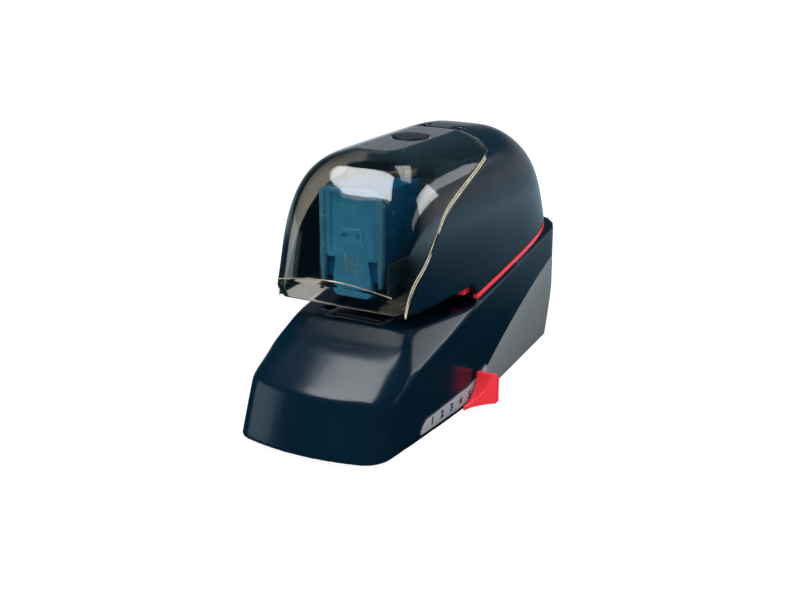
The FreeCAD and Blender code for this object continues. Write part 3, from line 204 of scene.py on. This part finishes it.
def gloss_abs(name, colour, roughness=0.16):
    """Polished ABS: a saturated colour under a clear shine, with faint flow marks."""
    material, tree, shader = new_material(name, {"IOR": 1.53, "Coat Weight": 0.25, "Coat Roughness": 0.08})
    flow = surface_noise(tree, 6.0, 3.0)
    base = hex_colour(colour)
    tint(tree, shader, flow, shade(base, 0.93), base)
    vary_roughness(tree, shader, flow, roughness - 0.03, roughness + 0.05)
    bump(tree, shader, flow, 0.01)
    return material


def printed_foil(name, colour):
    """Silver-grey lacquered foil of the scale: metallic flakes under a matt top coat."""
    material, tree, shader = new_material(name, {"Metallic": 0.35, "IOR": 1.5})
    flake = surface_noise(tree, 0.25)
    base = hex_colour(colour)
    tint(tree, shader, flake, shade(base, 0.88), base)
    vary_roughness(tree, shader, flake, 0.36, 0.5)
    bump(tree, shader, flake, 0.004)
    return material


def smoked_clear(name, colour):
    """Clear smoke-tinted SAN: the tint grows with the wall's thickness, so slanting looks are darker."""
    material, tree, shader = new_material(name, {
        "Base Color": (0.84, 0.83, 0.80, 1), "Transmission Weight": 1.0, "IOR": 1.5, "Roughness": 0.05,
        "Specular IOR Level": 0.6, "Coat Weight": 1.0, "Coat Roughness": 0.04,
    })
    ripple = surface_noise(tree, 14.0, 1.0)
    bump(tree, shader, ripple, 0.01)
    ray = add_node(tree, "ShaderNodeLightPath")
    veil = add_node(tree, "ShaderNodeBsdfTransparent", {"Color": (0.95, 0.95, 0.95, 1)})
    mix = add_node(tree, "ShaderNodeMixShader", None,
                   {0: (ray, "Is Shadow Ray"), 1: (shader, 0), 2: (veil, 0)})
    tree.links.new(mix.outputs[0], tree.nodes["Material Output"].inputs["Surface"])
    smoke = add_node(tree, "ShaderNodeVolumeAbsorption", {"Color": hex_colour(colour), "Density": 220.0})
    tree.links.new(smoke.outputs[0], tree.nodes["Material Output"].inputs["Volume"])
    return material


def guard_clear(name, colour):
    """Thin clear SAN: nearly all light passes straight on, and a polished skin glints."""
    material, tree, shader = new_material(name, {"Alpha": 0.16, "Coat Weight": 0.5, "Coat Roughness": 0.05})
    haze = surface_noise(tree, 5.0, 2.0)
    base = hex_colour(colour)
    tint(tree, shader, haze, shade(base, 0.8), base)
    vary_roughness(tree, shader, haze, 0.08, 0.16)
    return material


def painted_edge_highlight(name, colour):
    """Pale gold painted on the clear wall's edges, beads and ribs: a painted highlight that stands for the
    light the wall gathers and lets out there.
    """
    material, tree, shader = new_material(name, {"IOR": 1.5, "Transmission Weight": 0.2})
    streak = surface_noise(tree, 3.0)
    base = hex_colour(colour)
    tint(tree, shader, streak, shade(base, 0.75), base)
    vary_roughness(tree, shader, streak, 0.2, 0.35)
    return material


def tinted_styrene(name, colour, clear=0.25, roughness=0.22):
    """Blue translucent polystyrene: light passes a little way in and softens the edges."""
    material, tree, shader = new_material(name, {
        "IOR": 1.59, "Transmission Weight": clear, "Coat Weight": 0.3, "Coat Roughness": 0.12,
    })
    cloud = surface_noise(tree, 8.0, 3.0)
    base = hex_colour(colour)
    tint(tree, shader, cloud, shade(base, 0.82), base)
    vary_roughness(tree, shader, cloud, roughness - 0.04, roughness + 0.06)
    bump(tree, shader, cloud, 0.01)
    return material


def metal(name, colour, roughness, grain_size=0.5, depth=0.004, stretch=(1, 1, 1), bare=1.0):
    """Steel or brass with the fine marks of its making.

    Stretch draws the marks out, and bare is the share of the metal that no dull film covers.
    """
    material, tree, shader = new_material(name, {"Metallic": bare})
    place = add_node(tree, "ShaderNodeTexCoord")
    turn = add_node(tree, "ShaderNodeMapping", {"Scale": stretch}, {"Vector": (place, "Object")})
    marks = add_node(tree, "ShaderNodeTexNoise", {"Scale": 1 / (grain_size * MM), "Detail": 3.0},
                     {"Vector": (turn, "Vector")})
    base = hex_colour(colour)
    tint(tree, shader, marks, shade(base, 0.78), base)
    vary_roughness(tree, shader, marks, roughness - 0.06, roughness + 0.10)
    bump(tree, shader, marks, depth)
    return material


def acetal(name, colour):
    """Natural acetal of the gears: waxy, slightly translucent off-white."""
    material, tree, shader = new_material(name, {
        "IOR": 1.48, "Subsurface Weight": 0.15, "Subsurface Scale": 0.002,
    })
    cloud = surface_noise(tree, 4.0, 2.0)
    base = hex_colour(colour)
    tint(tree, shader, cloud, shade(base, 0.94), base)
    vary_roughness(tree, shader, cloud, 0.32, 0.42)
    return material


def soft_rubber(name, colour):
    """Moulded rubber of the feet: matt, with a dusty bloom."""
    material, tree, shader = new_material(name, {"IOR": 1.5, "Specular IOR Level": 0.3})
    dust = surface_noise(tree, 1.2, 3.0)
    base = hex_colour(colour)
    tint(tree, shader, dust, base, shade(base, 1.8))
    vary_roughness(tree, shader, dust, 0.72, 0.9)
    bump(tree, shader, dust, 0.03)
    return material


MATERIALS = {}


def make_materials():
    """One material for each slot of the record, and those of the small finishing pieces."""
    colours = bpy.context.scene.stapler_colours
    MATERIALS.update({
        "housing_black": satin_abs("satin black-blue ABS", colours.housing),
        "panel_grey": textured_abs("grey spark-eroded ABS", colours.panel),
        "scale_silver": printed_foil("silver-grey lacquered foil", colours.scale),
        "red_plastic": gloss_abs("polished red ABS", colours.signal),
        "smoked_clear": smoked_clear("smoked clear SAN", colours.hood),
        "cassette_blue": tinted_styrene("deep blue translucent polystyrene", "#1C84CE"),
        "cover_blue": tinted_styrene("frosted blue polystyrene", colours.cassette, 0.1),
        # Pale gold of the hood's foot, beads and tongue ribs: a painted highlight.
        "clear_edge": painted_edge_highlight("clear SAN edge with painted highlight", "#F4EBCB"),
        "rail_blue": tinted_styrene("pale blue polystyrene", "#6CC8FD", 0.3),
        "dark_steel": metal("blackened steel", "#55646E", 0.34),
        "bright_steel": metal("ground steel", "#B9BCC2", 0.26, 0.3, 0.003, (0.2, 1, 1)),
        "plated_steel": metal("black zinc-plated steel", "#41606E", 0.4, 1.2, 0.006, bare=0.4),
        "gear_plastic": acetal("natural acetal", "#E4E0D2"),
        "rubber": soft_rubber("black moulded rubber", "#161616"),
        "black_plastic": textured_abs("matt black polypropylene", "#0F2028", 0.5, 0.012, 0.46),
        "brass": metal("turned brass", "#C9A45A", 0.25),
        "board_green": textured_abs("solder-masked laminate", "#1E6B3A", 1.5, 0.01, 0.35),
        "core_steel": metal("laminated core steel", "#4A4744", 0.5, 0.35, 0.02, (1, 8, 1)),
        "guard_clear": guard_clear("thin clear SAN guard", "#D8D2C0"),
        "ink": textured_abs("screen-printing ink", "#101012", 0.3, 0.004, 0.5),
    })


# ---------------------------------------------------------------- helpers for pieces
def choose(*objects):
    """Select only these objects and make the first one active."""
    bpy.ops.object.select_all(action="DESELECT")
    for item in objects:
        item.select_set(True)
    bpy.context.view_layer.objects.active = objects[0]


def settle(piece, body, slot):
    """Give a finished piece its body, its slot and that slot's material."""
    piece.data.materials.clear()
    piece.data.materials.append(MATERIALS[slot])
    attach(piece, body)
    return piece


def edit_all(piece, operator, **settings):
    """Run one mesh operator on the whole of a piece."""
    choose(piece)
    bpy.ops.object.mode_set(mode="EDIT")
    bpy.ops.mesh.select_all(action="SELECT")
    operator(**settings)
    bpy.ops.object.mode_set(mode="OBJECT")


def surface_tree(mesh):
    """A search tree of a mesh's surface."""
    points = [vertex.co.copy() for vertex in mesh.vertices]
    return BVHTree.FromPolygons(points, [tuple(face.vertices) for face in mesh.polygons])


def node_copy(node):
    """A copy of a node's mesh with its loose triangles joined."""
    source = NODES[node]
    piece = source.copy()
    piece.data = source.data.copy()
    piece.name = node + "_moulding"
    bpy.context.collection.objects.link(piece)
    edit_all(piece, bpy.ops.mesh.remove_doubles, threshold=0.002 * MM)
    return piece


def apply_modifier(piece, kind, settings):
    """Add a modifier with its settings and apply it."""
    modifier = piece.modifiers.new(kind.lower(), kind)
    for name, value in settings.items():
        setattr(modifier, name, value)
    choose(piece)
    bpy.ops.object.modifier_apply(modifier=modifier.name)


def stand_for(piece, node, finish=None):
    """The piece takes the node's body, slot and material, or a finer one, and is shown in its place."""
    settle(piece, NODE_BODY[node], finish or NODE_SLOT[node])
    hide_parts(node)
    return piece


def eased_copy(node, ease, segments=3, angle=40.0, finish=None):
    """A copy for shapes with flat sides: flat faces joined and every sharp edge rolled over."""
    piece = node_copy(node)
    edit_all(piece, bpy.ops.mesh.dissolve_limited, angle_limit=math.radians(0.5))
    apply_modifier(piece, "BEVEL", {"width": ease * MM, "segments": segments, "limit_method": "ANGLE",
                                    "angle_limit": math.radians(35)})
    bpy.ops.object.shade_smooth_by_angle(angle=math.radians(angle))
    return stand_for(piece, node, finish)


# Creases that a mould softens turn by an angle between these, in degrees.
SHALLOW_LOW, SHALLOW_HIGH = 14, 60


def shallow_creases(piece, inside):
    """A search tree of points a millimetre apart along the shallow creases between faces that pass a test."""
    mesh = bmesh.new()
    mesh.from_mesh(piece.data)
    points = []
    for edge in mesh.edges:
        faces = edge.link_faces
        if len(faces) == 2 and SHALLOW_LOW < math.degrees(edge.calc_face_angle(0.0)) < SHALLOW_HIGH:
            start, end = (vertex.co for vertex in edge.verts)
            if inside((start + end) / 2 / MM, faces[0].normal, faces[1].normal):
                steps = max(1, int((end - start).length / MM))
                points += [start.lerp(end, step / steps) for step in range(steps + 1)]
    mesh.free()
    tree = KDTree(len(points))
    for number, point in enumerate(points):
        tree.insert(point, number)
    tree.balance()
    return tree


# Walls lean or face down by more than these parts of a normal.
SIDEWAYS, DOWNWARD = 0.5, -0.7
# Half the width and half the length of the underside, within the outer walls.
UNDER_WIDE, UNDER_LONG = 36 * MM, 95 * MM
# A look outwards starts this far off the surface and goes this far.
LOOK_START, LOOK_END = 2 * MM, 200 * MM
# A wall met past this distance is across a hollow, so the point is inside.
HOLLOW = 12 * MM


def hidden_inside(piece, tree):
    """Numbers of the points on inner walls and on the underside, which nobody sees."""
    hidden = []
    for vertex in piece.data.vertices:
        point, normal = vertex.co, vertex.normal
        if abs(normal.x) > SIDEWAYS and normal.x * point.x < 0:
            hidden.append(vertex.index)
        elif normal.z < DOWNWARD and abs(point.x) < UNDER_WIDE and abs(point.y) < UNDER_LONG:
            hidden.append(vertex.index)
        else:
            distance = tree.ray_cast(point + normal * LOOK_START, normal, LOOK_END)[3]
            if distance is not None and distance > HOLLOW:
                hidden.append(vertex.index)
    return hidden


def moulded_copy(node, grain, rounds=8, crease=None, reach=8.0, more=60):
    """A copy for freely curved shells: an even skin of small faces, its edges softened as a mould does.

    Creases that pass the test are smoothed for more rounds within their reach; inner walls get fewer faces.
    """
    piece = node_copy(node)
    walls = surface_tree(piece.data)
    lines = shallow_creases(piece, crease) if crease else None
    apply_modifier(piece, "REMESH", {"mode": "VOXEL", "voxel_size": grain * MM})
    apply_modifier(piece, "SHRINKWRAP", {"target": NODES[node], "wrap_method": "NEAREST_SURFACEPOINT"})
    apply_modifier(piece, "SMOOTH", {"factor": 0.5, "iterations": rounds})
    if lines:
        soft = piece.vertex_groups.new(name="soft")
        for vertex in piece.data.vertices:
            weight = 1 - lines.find(vertex.co)[2] / MM / reach
            if weight > 0:
                soft.add([vertex.index], weight, "REPLACE")
        apply_modifier(piece, "SMOOTH", {"factor": 0.5, "iterations": more, "vertex_group": soft.name})
    triangles = 2 * len(piece.data.polygons)
    if triangles > TRIANGLE_LIMIT:
        inner = piece.vertex_groups.new(name="inner")
        inner.add(hidden_inside(piece, walls), 1.0, "REPLACE")
        apply_modifier(piece, "DECIMATE", {"ratio": TRIANGLE_LIMIT / triangles, "vertex_group": inner.name,
                                           "vertex_group_factor": 1000})
    piece.vertex_groups.clear()
    bpy.ops.object.shade_smooth()
    return stand_for(piece, node)


def second_finish(piece, slot, inside):
    """Give the faces whose centres pass a test a second material."""
    piece.data.materials.append(MATERIALS[slot])
    for face in piece.data.polygons:
        if inside(face.center):
            face.material_index = 1


# ---------------------------------------------------------------- pieces
# The base's soft creases lie between these heights in millimetres.
CREASE_LOW, CREASE_HIGH = 26, 60
# Their faces are less upright than the first and look down less than the second.
CREASE_UPRIGHT, CREASE_DOWN = 0.9, -0.2
# Height of the band at the hood's foot that gets the painted highlight.
PAINTED_FOOT_BAND = 0.5 * MM
# The liner is clear in front of this place.
LIP_END = -46 * MM
# Half the width of the stop bar's black middle.
BLACK_HALF = 33 * MM
# How far the corner panels stand proud of their solids.
PANEL_PROUD = 0.12 * MM


def base_crease(point, first, second):
    """The base's front and shoulder creases, which are soft, but not the edges of its upright walls."""
    upright = max(abs(first.x), abs(second.x))
    return (CREASE_LOW < point.z < CREASE_HIGH and point.y < 0 and upright < CREASE_UPRIGHT
            and first.z > CREASE_DOWN)


def painted_foot_highlight(hood):
    """Give the hood's lower edge, where its wall ends, a pale painted highlight."""
    foot = min(vertex.co.z for vertex in hood.data.vertices)
    second_finish(hood, "clear_edge", lambda centre: centre.z < foot + PAINTED_FOOT_BAND)


def clear_front(liner):
    """The liner's front lip, under the cassette, is clear."""
    edit_all(liner, bpy.ops.mesh.bisect, plane_co=(0, LIP_END, 0), plane_no=(0, 1, 0))
    second_finish(liner, "guard_clear", lambda centre: centre.y < LIP_END)


def black_middle(stop):
    """The stop bar is red at its ends and black between them."""
    for side in (-1, 1):
        edit_all(stop, bpy.ops.mesh.bisect, plane_co=(side * BLACK_HALF, 0, 0), plane_no=(1, 0, 0))
    second_finish(stop, "black_plastic", lambda centre: abs(centre.x) < BLACK_HALF)


def squeezed_spring(node):
    """A smooth-shaded copy of the coil spring, shown in the node's place with a mesh of its own."""
    piece = node_copy(node)
    bpy.ops.object.shade_smooth_by_angle(angle=math.radians(60))
    stand_for(piece, node)
    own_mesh(piece)


class StaplerMouldings(Operator):
    """Finish the curved mouldings: housings, hood, panels, trim, knobs and button."""

    bl_idname = "stapler.mouldings"
    bl_label = "Mouldings"

    def execute(self, context):
        moulded_copy("base_shell", 0.9, 9, base_crease, 9.0, 80)
        moulded_copy("upper_housing", 0.8, 8)
        # The hood's foot band gets a pale painted highlight.
        painted_foot_highlight(moulded_copy("hood", 0.75, 8))
        for node in ("right_corner_panel", "left_corner_panel"):
            panel = eased_copy(node, 0.25)
            apply_modifier(panel, "DISPLACE", {"strength": PANEL_PROUD, "mid_level": 0.0})
        eased_copy("trim_band", 0.25)
        for node in ("right_depth_knob", "left_depth_knob"):
            moulded_copy(node, 0.3, 10)
        for node in ("right_scale_plate", "left_scale_plate"):
            eased_copy(node, 0.15, 2)
        for node, ease in (("release_button", 0.8), ("rocker_switch", 0.6), ("mains_inlet", 0.3),
                           ("switch_frame", 0.3)):
            eased_copy(node, ease)
        black_middle(eased_copy("paper_stop", 0.5))
        return {"FINISHED"}


class StaplerMechanism(Operator):
    """Finish the cassette, anvil, head, liner and springs, and give every node its slot's material."""

    bl_idname = "stapler.mechanism"
    bl_label = "Mechanism"

    def execute(self, context):
        eased_copy("cassette_body", 0.4)
        eased_copy("staple_cover", 0.25, finish="cover_blue")
        for node in ("left_cassette_rail", "right_cassette_rail"):
            eased_copy(node, 0.3)
        for node in ("anvil_plate", "head_carriage"):
            eased_copy(node, 0.2, 2)
        clear_front(eased_copy("throat_liner", 0.2, 2))
        for node, joint in (("left_return_spring", "head_slide"), ("right_return_spring", "head_slide"),
                            ("button_spring", "button_press")):
            squeezed_spring(node)
        for node, item in NODES.items():
            item.data.materials.clear()
            item.data.materials.append(MATERIALS[NODE_SLOT[node]])
        return {"FINISHED"}


def bead(name, node, points, radius, finish, laid=True):
    """A thin round bead through points in millimetres, which may first be laid on the node's surface."""
    surface = surface_tree(NODES[node].data)
    bpy.ops.object.select_all(action="DESELECT")
    bpy.ops.curve.primitive_nurbs_path_add(location=(0, 0, 0))
    curve = bpy.context.object
    spline = curve.data.splines[0]
    spline.points.add(len(points) - len(spline.points))
    for knot, point in zip(spline.points, points):
        place = Vector(point) * MM
        knot.co = (*(surface.find_nearest(place)[0] if laid else place), 1)
    spline.order_u = 4
    spline.use_endpoint_u = True
    curve.data.bevel_depth = radius * MM
    curve.data.bevel_resolution = 3
    curve.data.use_fill_caps = True
    bpy.ops.object.convert(target="MESH")
    piece = bpy.context.object
    piece.name = name
    bpy.ops.object.shade_smooth()
    settle(piece, NODE_BODY[node], finish)


# The hood's right rear edge from its foot to its top, in millimetres, where a pale bead paints a highlight.
EDGE_POINTS = (
    (39.6, -79, 71.8), (40.4, -75.7, 84.7), (42.1, -68, 91.5), (43.1, -59, 99.1), (42.4, -42.3, 118.6),
    (41.8, -31.7, 123.3), (41, -18.7, 127.5), (39.9, -6.3, 131.3), (38.2, 9, 134.7), (36.1, 21.5, 138.1),
)
# The ridge across the hood's front, where a pale bead paints a highlight.
RIDGE_POINTS = (
    (-34, -85.4, 84.4), (-24, -86.6, 86.6), (-4.6, -88, 89.1), (8, -88, 88.8), (22, -87, 87),
    (34.6, -85.1, 83.9),
)
# The inner highlight bead is the outer one moved by this.
INNER_SHIFT = (0.05, -1.0, 1.5)
# The pale ribs of the tongue, whose colour is a painted highlight: where they stand across it, their points,
# and the first one's place and height.
RIB_PLACES, RIB_STEPS = (-4, 0, 4), 6
RIB_BACK, RIB_FOOT, RIB_RISE = -72, 87, 2.2
# How a rib's distance from the middle grows from its foot to its top.
RIB_NARROW, RIB_SPREAD = 0.8, 0.04


class StaplerBeads(Operator):
    """Lay pale beads along the hood's edges and front ridge, and pale ribs on the cassette's tongue, whose
    cream colour paints highlight lines.
    """

    bl_idname = "stapler.beads"
    bl_label = "Highlight beads and ribs"

    def execute(self, context):
        right, back, up = INNER_SHIFT
        for side, word in ((1, "right"), (-1, "left")):
            outer = [(side * x, y, z) for x, y, z in EDGE_POINTS]
            inner = [(side * (x + right), y + back, z + up) for x, y, z in EDGE_POINTS]
            # Thin pale tubes that paint the highlights of the hood's edges and ridge.
            bead(f"{word}_edge_highlight_bead", "hood", outer, 0.3, "clear_edge", False)
            bead(f"{word}_inner_highlight_bead", "hood", inner, 0.2, "clear_edge", False)
        bead("ridge_highlight_bead", "hood", RIDGE_POINTS, 0.3, "clear_edge")
        for number, x in enumerate(RIB_PLACES):
            rib = [(x * (RIB_NARROW + RIB_SPREAD * step), RIB_BACK, RIB_FOOT + RIB_RISE * step)
                   for step in range(RIB_STEPS)]
            # The ribs' pale colour is a painted highlight.
            bead(f"tongue_highlight_rib_{number + 1}", "staple_cover", rib, 0.25, "clear_edge")
        return {"FINISHED"}


# Type size over the height of a number, its slant, how much wider it is drawn, and its thicker stroke.
TYPE_SIZE, TYPE_SLANT, TYPE_WIDTH, TYPE_STROKE = 1.25, 0.15, 1.2, 0.0002
# Heights of the middle of the numbers and of the top of the marks.
NUMERAL_LEVEL, TICK_LEVEL = 10.4 * MM, 7.6 * MM
# Heights of the marks under a number and between two, and their thickness and width.
LONG_TICK, SHORT_TICK, TICK_THICK, TICK_WIDE = 1.5, 0.9, 0.12 * MM, 0.3 * MM
# A search for the plate's surface starts this far out.
OUTSIDE = 0.1
# How far the print lies off the plate.
PRINT_GAP = 0.01 * MM


class StaplerNumerals(Operator):
    """Print the numbers of the depth scale on both scale plates."""

    bl_idname = "stapler.numerals"
    bl_label = "Scale numbers"

    def execute(self, context):
        sizes = context.scene.stapler_sizes
        for side, node in ((1, "right_scale_plate"), (-1, "left_scale_plate")):
            plate = surface_tree(NODES[node].data)
            for number in range(sizes.numeral_count):
                y = sizes.first_numeral + number * sizes.numeral_pitch
                bpy.ops.object.select_all(action="DESELECT")
                bpy.ops.object.text_add(location=(0, 0, 0))
                piece = context.object
                piece.data.body = str(number + 1)
                piece.data.align_x = "CENTER"
                piece.data.align_y = "CENTER"
                piece.data.shear = TYPE_SLANT
                piece.data.size = sizes.numeral_height * TYPE_SIZE
                piece.data.extrude = sizes.ink_thickness
                piece.data.offset = TYPE_STROKE
                bpy.ops.object.convert(target="MESH")
                piece = context.object
                piece.name = f"numeral_{'right' if side > 0 else 'left'}_{number + 1}"
                start = Vector((side * OUTSIDE, y, NUMERAL_LEVEL))
                place, normal = plate.ray_cast(start, Vector((-side, 0, 0)))[:2]
                outward = normal if normal.x * side > 0 else -normal
                up = Vector((0, 0, 1))
                along = up.cross(outward).normalized()
                up = outward.cross(along).normalized()
                for vertex in piece.data.vertices:
                    x, height, depth = vertex.co
                    vertex.co = (place + along * TYPE_WIDTH * x + up * height
                                 + outward * (depth + PRINT_GAP))
                settle(piece, "housing", "ink")
            self.ticks(plate, side, sizes)
        return {"FINISHED"}

    def ticks(self, plate, side, sizes):
        """Fine marks, a long one under each number and a short one between two."""
        bpy.ops.object.select_all(action="DESELECT")
        for mark in range(2 * sizes.numeral_count - 1):
            y = sizes.first_numeral + mark * sizes.numeral_pitch / 2
            height = (LONG_TICK if mark % 2 == 0 else SHORT_TICK) * MM
            spot = plate.ray_cast(Vector((side * OUTSIDE, y, TICK_LEVEL)), Vector((-side, 0, 0)))[0]
            bpy.ops.mesh.primitive_cube_add(size=1, location=(spot.x, y, spot.z - height / 2),
                                            scale=(TICK_THICK, TICK_WIDE, height))
            if mark == 0:
                piece = bpy.context.object
                bpy.ops.object.transform_apply()
                bpy.ops.object.mode_set(mode="EDIT")
        bpy.ops.object.mode_set(mode="OBJECT")
        piece.name = f"ticks_{'right' if side > 0 else 'left'}"
        apply_modifier(piece, "BEVEL", {"width": 0.02 * MM, "segments": 1})
        settle(piece, "housing", "ink")


class StaplerStage(Operator):
    """Pale floor, soft studio light and the camera."""

    bl_idname = "stapler.stage"
    bl_label = "Stage"

    def execute(self, context):
        make_floor()
        make_world()
        make_lamps()
        make_camera()
        return {"FINISHED"}


def seen_share(tree):
    """The share of a ray that sees the stage straight or through clear plastic, and the Light Path node."""
    ray = add_node(tree, "ShaderNodeLightPath")
    direct = add_node(tree, "ShaderNodeMath", {"operation": "MAXIMUM"},
                      {0: (ray, "Is Camera Ray"), 1: (ray, "Is Transmission Ray")})
    mirrored = add_node(tree, "ShaderNodeMath", {"operation": "MINIMUM", 1: 1.0}, {0: (ray, "Glossy Depth")})
    share = add_node(tree, "ShaderNodeMath", {"operation": "SUBTRACT", "use_clamp": True},
                     {0: (direct, 0), 1: (mirrored, 0)})
    return share, ray


def make_floor():
    """A wide white floor that keeps a soft shadow; reflections see its near half dark, its far half pale."""
    bpy.ops.object.select_all(action="DESELECT")
    bpy.ops.mesh.primitive_plane_add(size=12, location=(0, 0, 0))
    floor = bpy.context.object
    floor.name = "floor"
    material, tree, shader = new_material("white sweep", {"Roughness": 0.9, "Specular IOR Level": 0.0})
    share, ray = seen_share(tree)
    place = add_node(tree, "ShaderNodeTexCoord")
    parts = add_node(tree, "ShaderNodeSeparateXYZ", links={"Vector": (place, "Object")})
    far = add_node(tree, "ShaderNodeMapRange", {"From Min": 0.15, "From Max": 0.7}, {"Value": (parts, "Y")})
    near_dark, far_pale = (0.005, 0.022, 0.032, 1), (0.26, 0.38, 0.46, 1)
    sides = add_node(tree, "ShaderNodeMix", {"data_type": "RGBA", MIX_FIRST: near_dark, MIX_SECOND: far_pale},
                     {MIX_SHARE: (far, "Result")})
    paint = add_node(tree, "ShaderNodeMix", {"data_type": "RGBA", MIX_FIRST: (0.5, 0.5, 0.51, 1)},
                     {MIX_SHARE: (ray, "Is Glossy Ray"), MIX_SECOND: (sides, MIX_COLOUR)})
    tree.links.new(paint.outputs[MIX_COLOUR], shader.inputs["Base Color"])
    strength = add_node(tree, "ShaderNodeMath", {"operation": "MULTIPLY", 1: 0.8}, {0: (share, 0)})
    glow = add_node(tree, "ShaderNodeEmission", {"Color": (1, 1, 1, 1), "Strength": 1.18})
    mix = add_node(tree, "ShaderNodeMixShader", None, {0: (strength, 0), 1: (shader, 0), 2: (glow, 0)})
    tree.links.new(mix.outputs[0], tree.nodes["Material Output"].inputs["Surface"])
    floor.data.materials.append(material)


def make_world():
    """White for the eye, an even room for diffuse light, and a dark one with a pale far wall in reflections."""
    world = bpy.data.worlds.new("studio")
    bpy.context.scene.world = world
    world.use_nodes = True
    tree = world.node_tree
    share, ray = seen_share(tree)
    place = add_node(tree, "ShaderNodeTexCoord")
    parts = add_node(tree, "ShaderNodeSeparateXYZ", links={"Vector": (place, "Generated")})
    far = add_node(tree, "ShaderNodeMapRange", {"From Min": 0.4, "From Max": 0.95}, {"Value": (parts, "Y")})
    high = add_node(tree, "ShaderNodeMapRange", {"From Min": 0.08, "From Max": 0.3}, {"Value": (parts, "Z")})
    low_pale, high_dim = (0.48, 0.49, 0.52, 1), (0.05, 0.10, 0.14, 1)
    pale = add_node(tree, "ShaderNodeMix", {"data_type": "RGBA", MIX_FIRST: low_pale, MIX_SECOND: high_dim},
                    {MIX_SHARE: (high, "Result")})
    walls = add_node(tree, "ShaderNodeMix", {"data_type": "RGBA", MIX_FIRST: (0.008, 0.032, 0.048, 1)},
                     {MIX_SHARE: (far, "Result"), MIX_SECOND: (pale, MIX_COLOUR)})
    room = add_node(tree, "ShaderNodeMix", {"data_type": "RGBA", MIX_SECOND: (1.3, 1.3, 1.3, 1)},
                    {MIX_SHARE: (ray, "Is Diffuse Ray"), MIX_FIRST: (walls, MIX_COLOUR)})
    colour = add_node(tree, "ShaderNodeMix", {"data_type": "RGBA", MIX_SECOND: (1, 1, 1, 1)},
                      {MIX_SHARE: (share, 0), MIX_FIRST: (room, MIX_COLOUR)})
    tree.links.new(colour.outputs[MIX_COLOUR], tree.nodes["Background"].inputs["Color"])


def add_lamp(name, place, target, size, power, along=(0, 0, 1), colour=(0.96, 0.98, 1.0)):
    """A soft rectangular lamp that looks at a point, its length laid along a direction."""
    data = bpy.data.lights.new(name, "AREA")
    data.shape = "RECTANGLE"
    data.size, data.size_y = size
    data.energy = power
    data.color = colour
    lamp = bpy.data.objects.new(name, data)
    bpy.context.collection.objects.link(lamp)
    back = (Vector(place) - Vector(target)).normalized()
    across = Vector(along).cross(back).normalized()
    turn = Matrix((across, back.cross(across), back)).transposed()
    lamp.matrix_world = Matrix.Translation(place) @ turn.to_4x4()
    return lamp


def make_lamps():
    """A large box high at the left front, a broad one over the rear, and low ones at the sides."""
    add_lamp("key_box", (-0.235, -0.48, 1.06), (0.01, -0.08, 0.09), (0.80, 0.86), 12.0,
             along=(0.03, -0.7, -0.31))
    add_lamp("top_box", (0.3, 0.5, 1.1), (0, 0, 0.1), (0.7, 0.5), 2.0)
    add_lamp("side_box", (0.70, 0.55, 0.40), (0.04, -0.02, 0.06), (0.42, 0.24), 0.85)
    add_lamp("corner_strip", (0.66, 0.46, 0.36), (0.03, -0.03, 0.1), (0.12, 0.95), 0.36,
             along=(-0.62, 0.8, 0.16))
    add_lamp("left_box", (-0.95, -0.63, 0.2), (-0.03, -0.11, 0.02), (0.45, 0.3), 0.5, colour=(0.7, 0.9, 1.0))


# The camera's place, its lens in millimetres, and how far it looks down and is turned, in degrees.
CAMERA_PLACE, CAMERA_LENS = (0.34887, -0.63837, 0.28813), 58.5
CAMERA_DOWN, CAMERA_TURN = 17.859, 29.196


def make_camera():
    """A camera at the height and turn from which the stapler shows its front, right side and top."""
    data = bpy.data.cameras.new("camera")
    data.sensor_width = 36
    data.lens = CAMERA_LENS
    camera = bpy.data.objects.new("camera", data)
    bpy.context.collection.objects.link(camera)
    camera.location = CAMERA_PLACE
    camera.rotation_euler = (math.radians(90 - CAMERA_DOWN), 0, math.radians(CAMERA_TURN))
    bpy.context.scene.camera = camera


class StaplerPanel(Panel):
    """Buttons for each group of pieces and the sizes and colours they use."""

    bl_idname = "VIEW3D_PT_stapler"
    bl_label = "Stapler"
    bl_space_type = "VIEW_3D"
    bl_region_type = "UI"
    bl_category = "Stapler"

    def draw(self, context):
        layout = self.layout
        for operator in OPERATORS:
            layout.operator(operator.bl_idname)
        for group in (context.scene.stapler_sizes, context.scene.stapler_colours):
            box = layout.box()
            for name in group.bl_rna.properties.keys():
                if name not in ("name", "rna_type"):
                    box.prop(group, name)


OPERATORS = (StaplerMouldings, StaplerMechanism, StaplerBeads, StaplerNumerals, StaplerStage)
CLASSES = (StaplerSizes, StaplerColours, *OPERATORS, StaplerPanel)


def register():
    """Register the classes and hang the settings on the scene."""
    for item in CLASSES:
        bpy.utils.register_class(item)
    bpy.types.Scene.stapler_sizes = PointerProperty(type=StaplerSizes)
    bpy.types.Scene.stapler_colours = PointerProperty(type=StaplerColours)


def unregister():
    """Undo register."""
    del bpy.types.Scene.stapler_sizes
    del bpy.types.Scene.stapler_colours
    for item in reversed(CLASSES):
        bpy.utils.unregister_class(item)


def main():
    """Run every operator in order."""
    register()
    bpy.context.scene.view_settings.view_transform = "Standard"
    make_materials()
    bpy.ops.stapler.mouldings()
    bpy.ops.stapler.mechanism()
    bpy.ops.stapler.beads()
    bpy.ops.stapler.numerals()
    bpy.ops.stapler.stage()


if __name__ == "__main__":
    main()
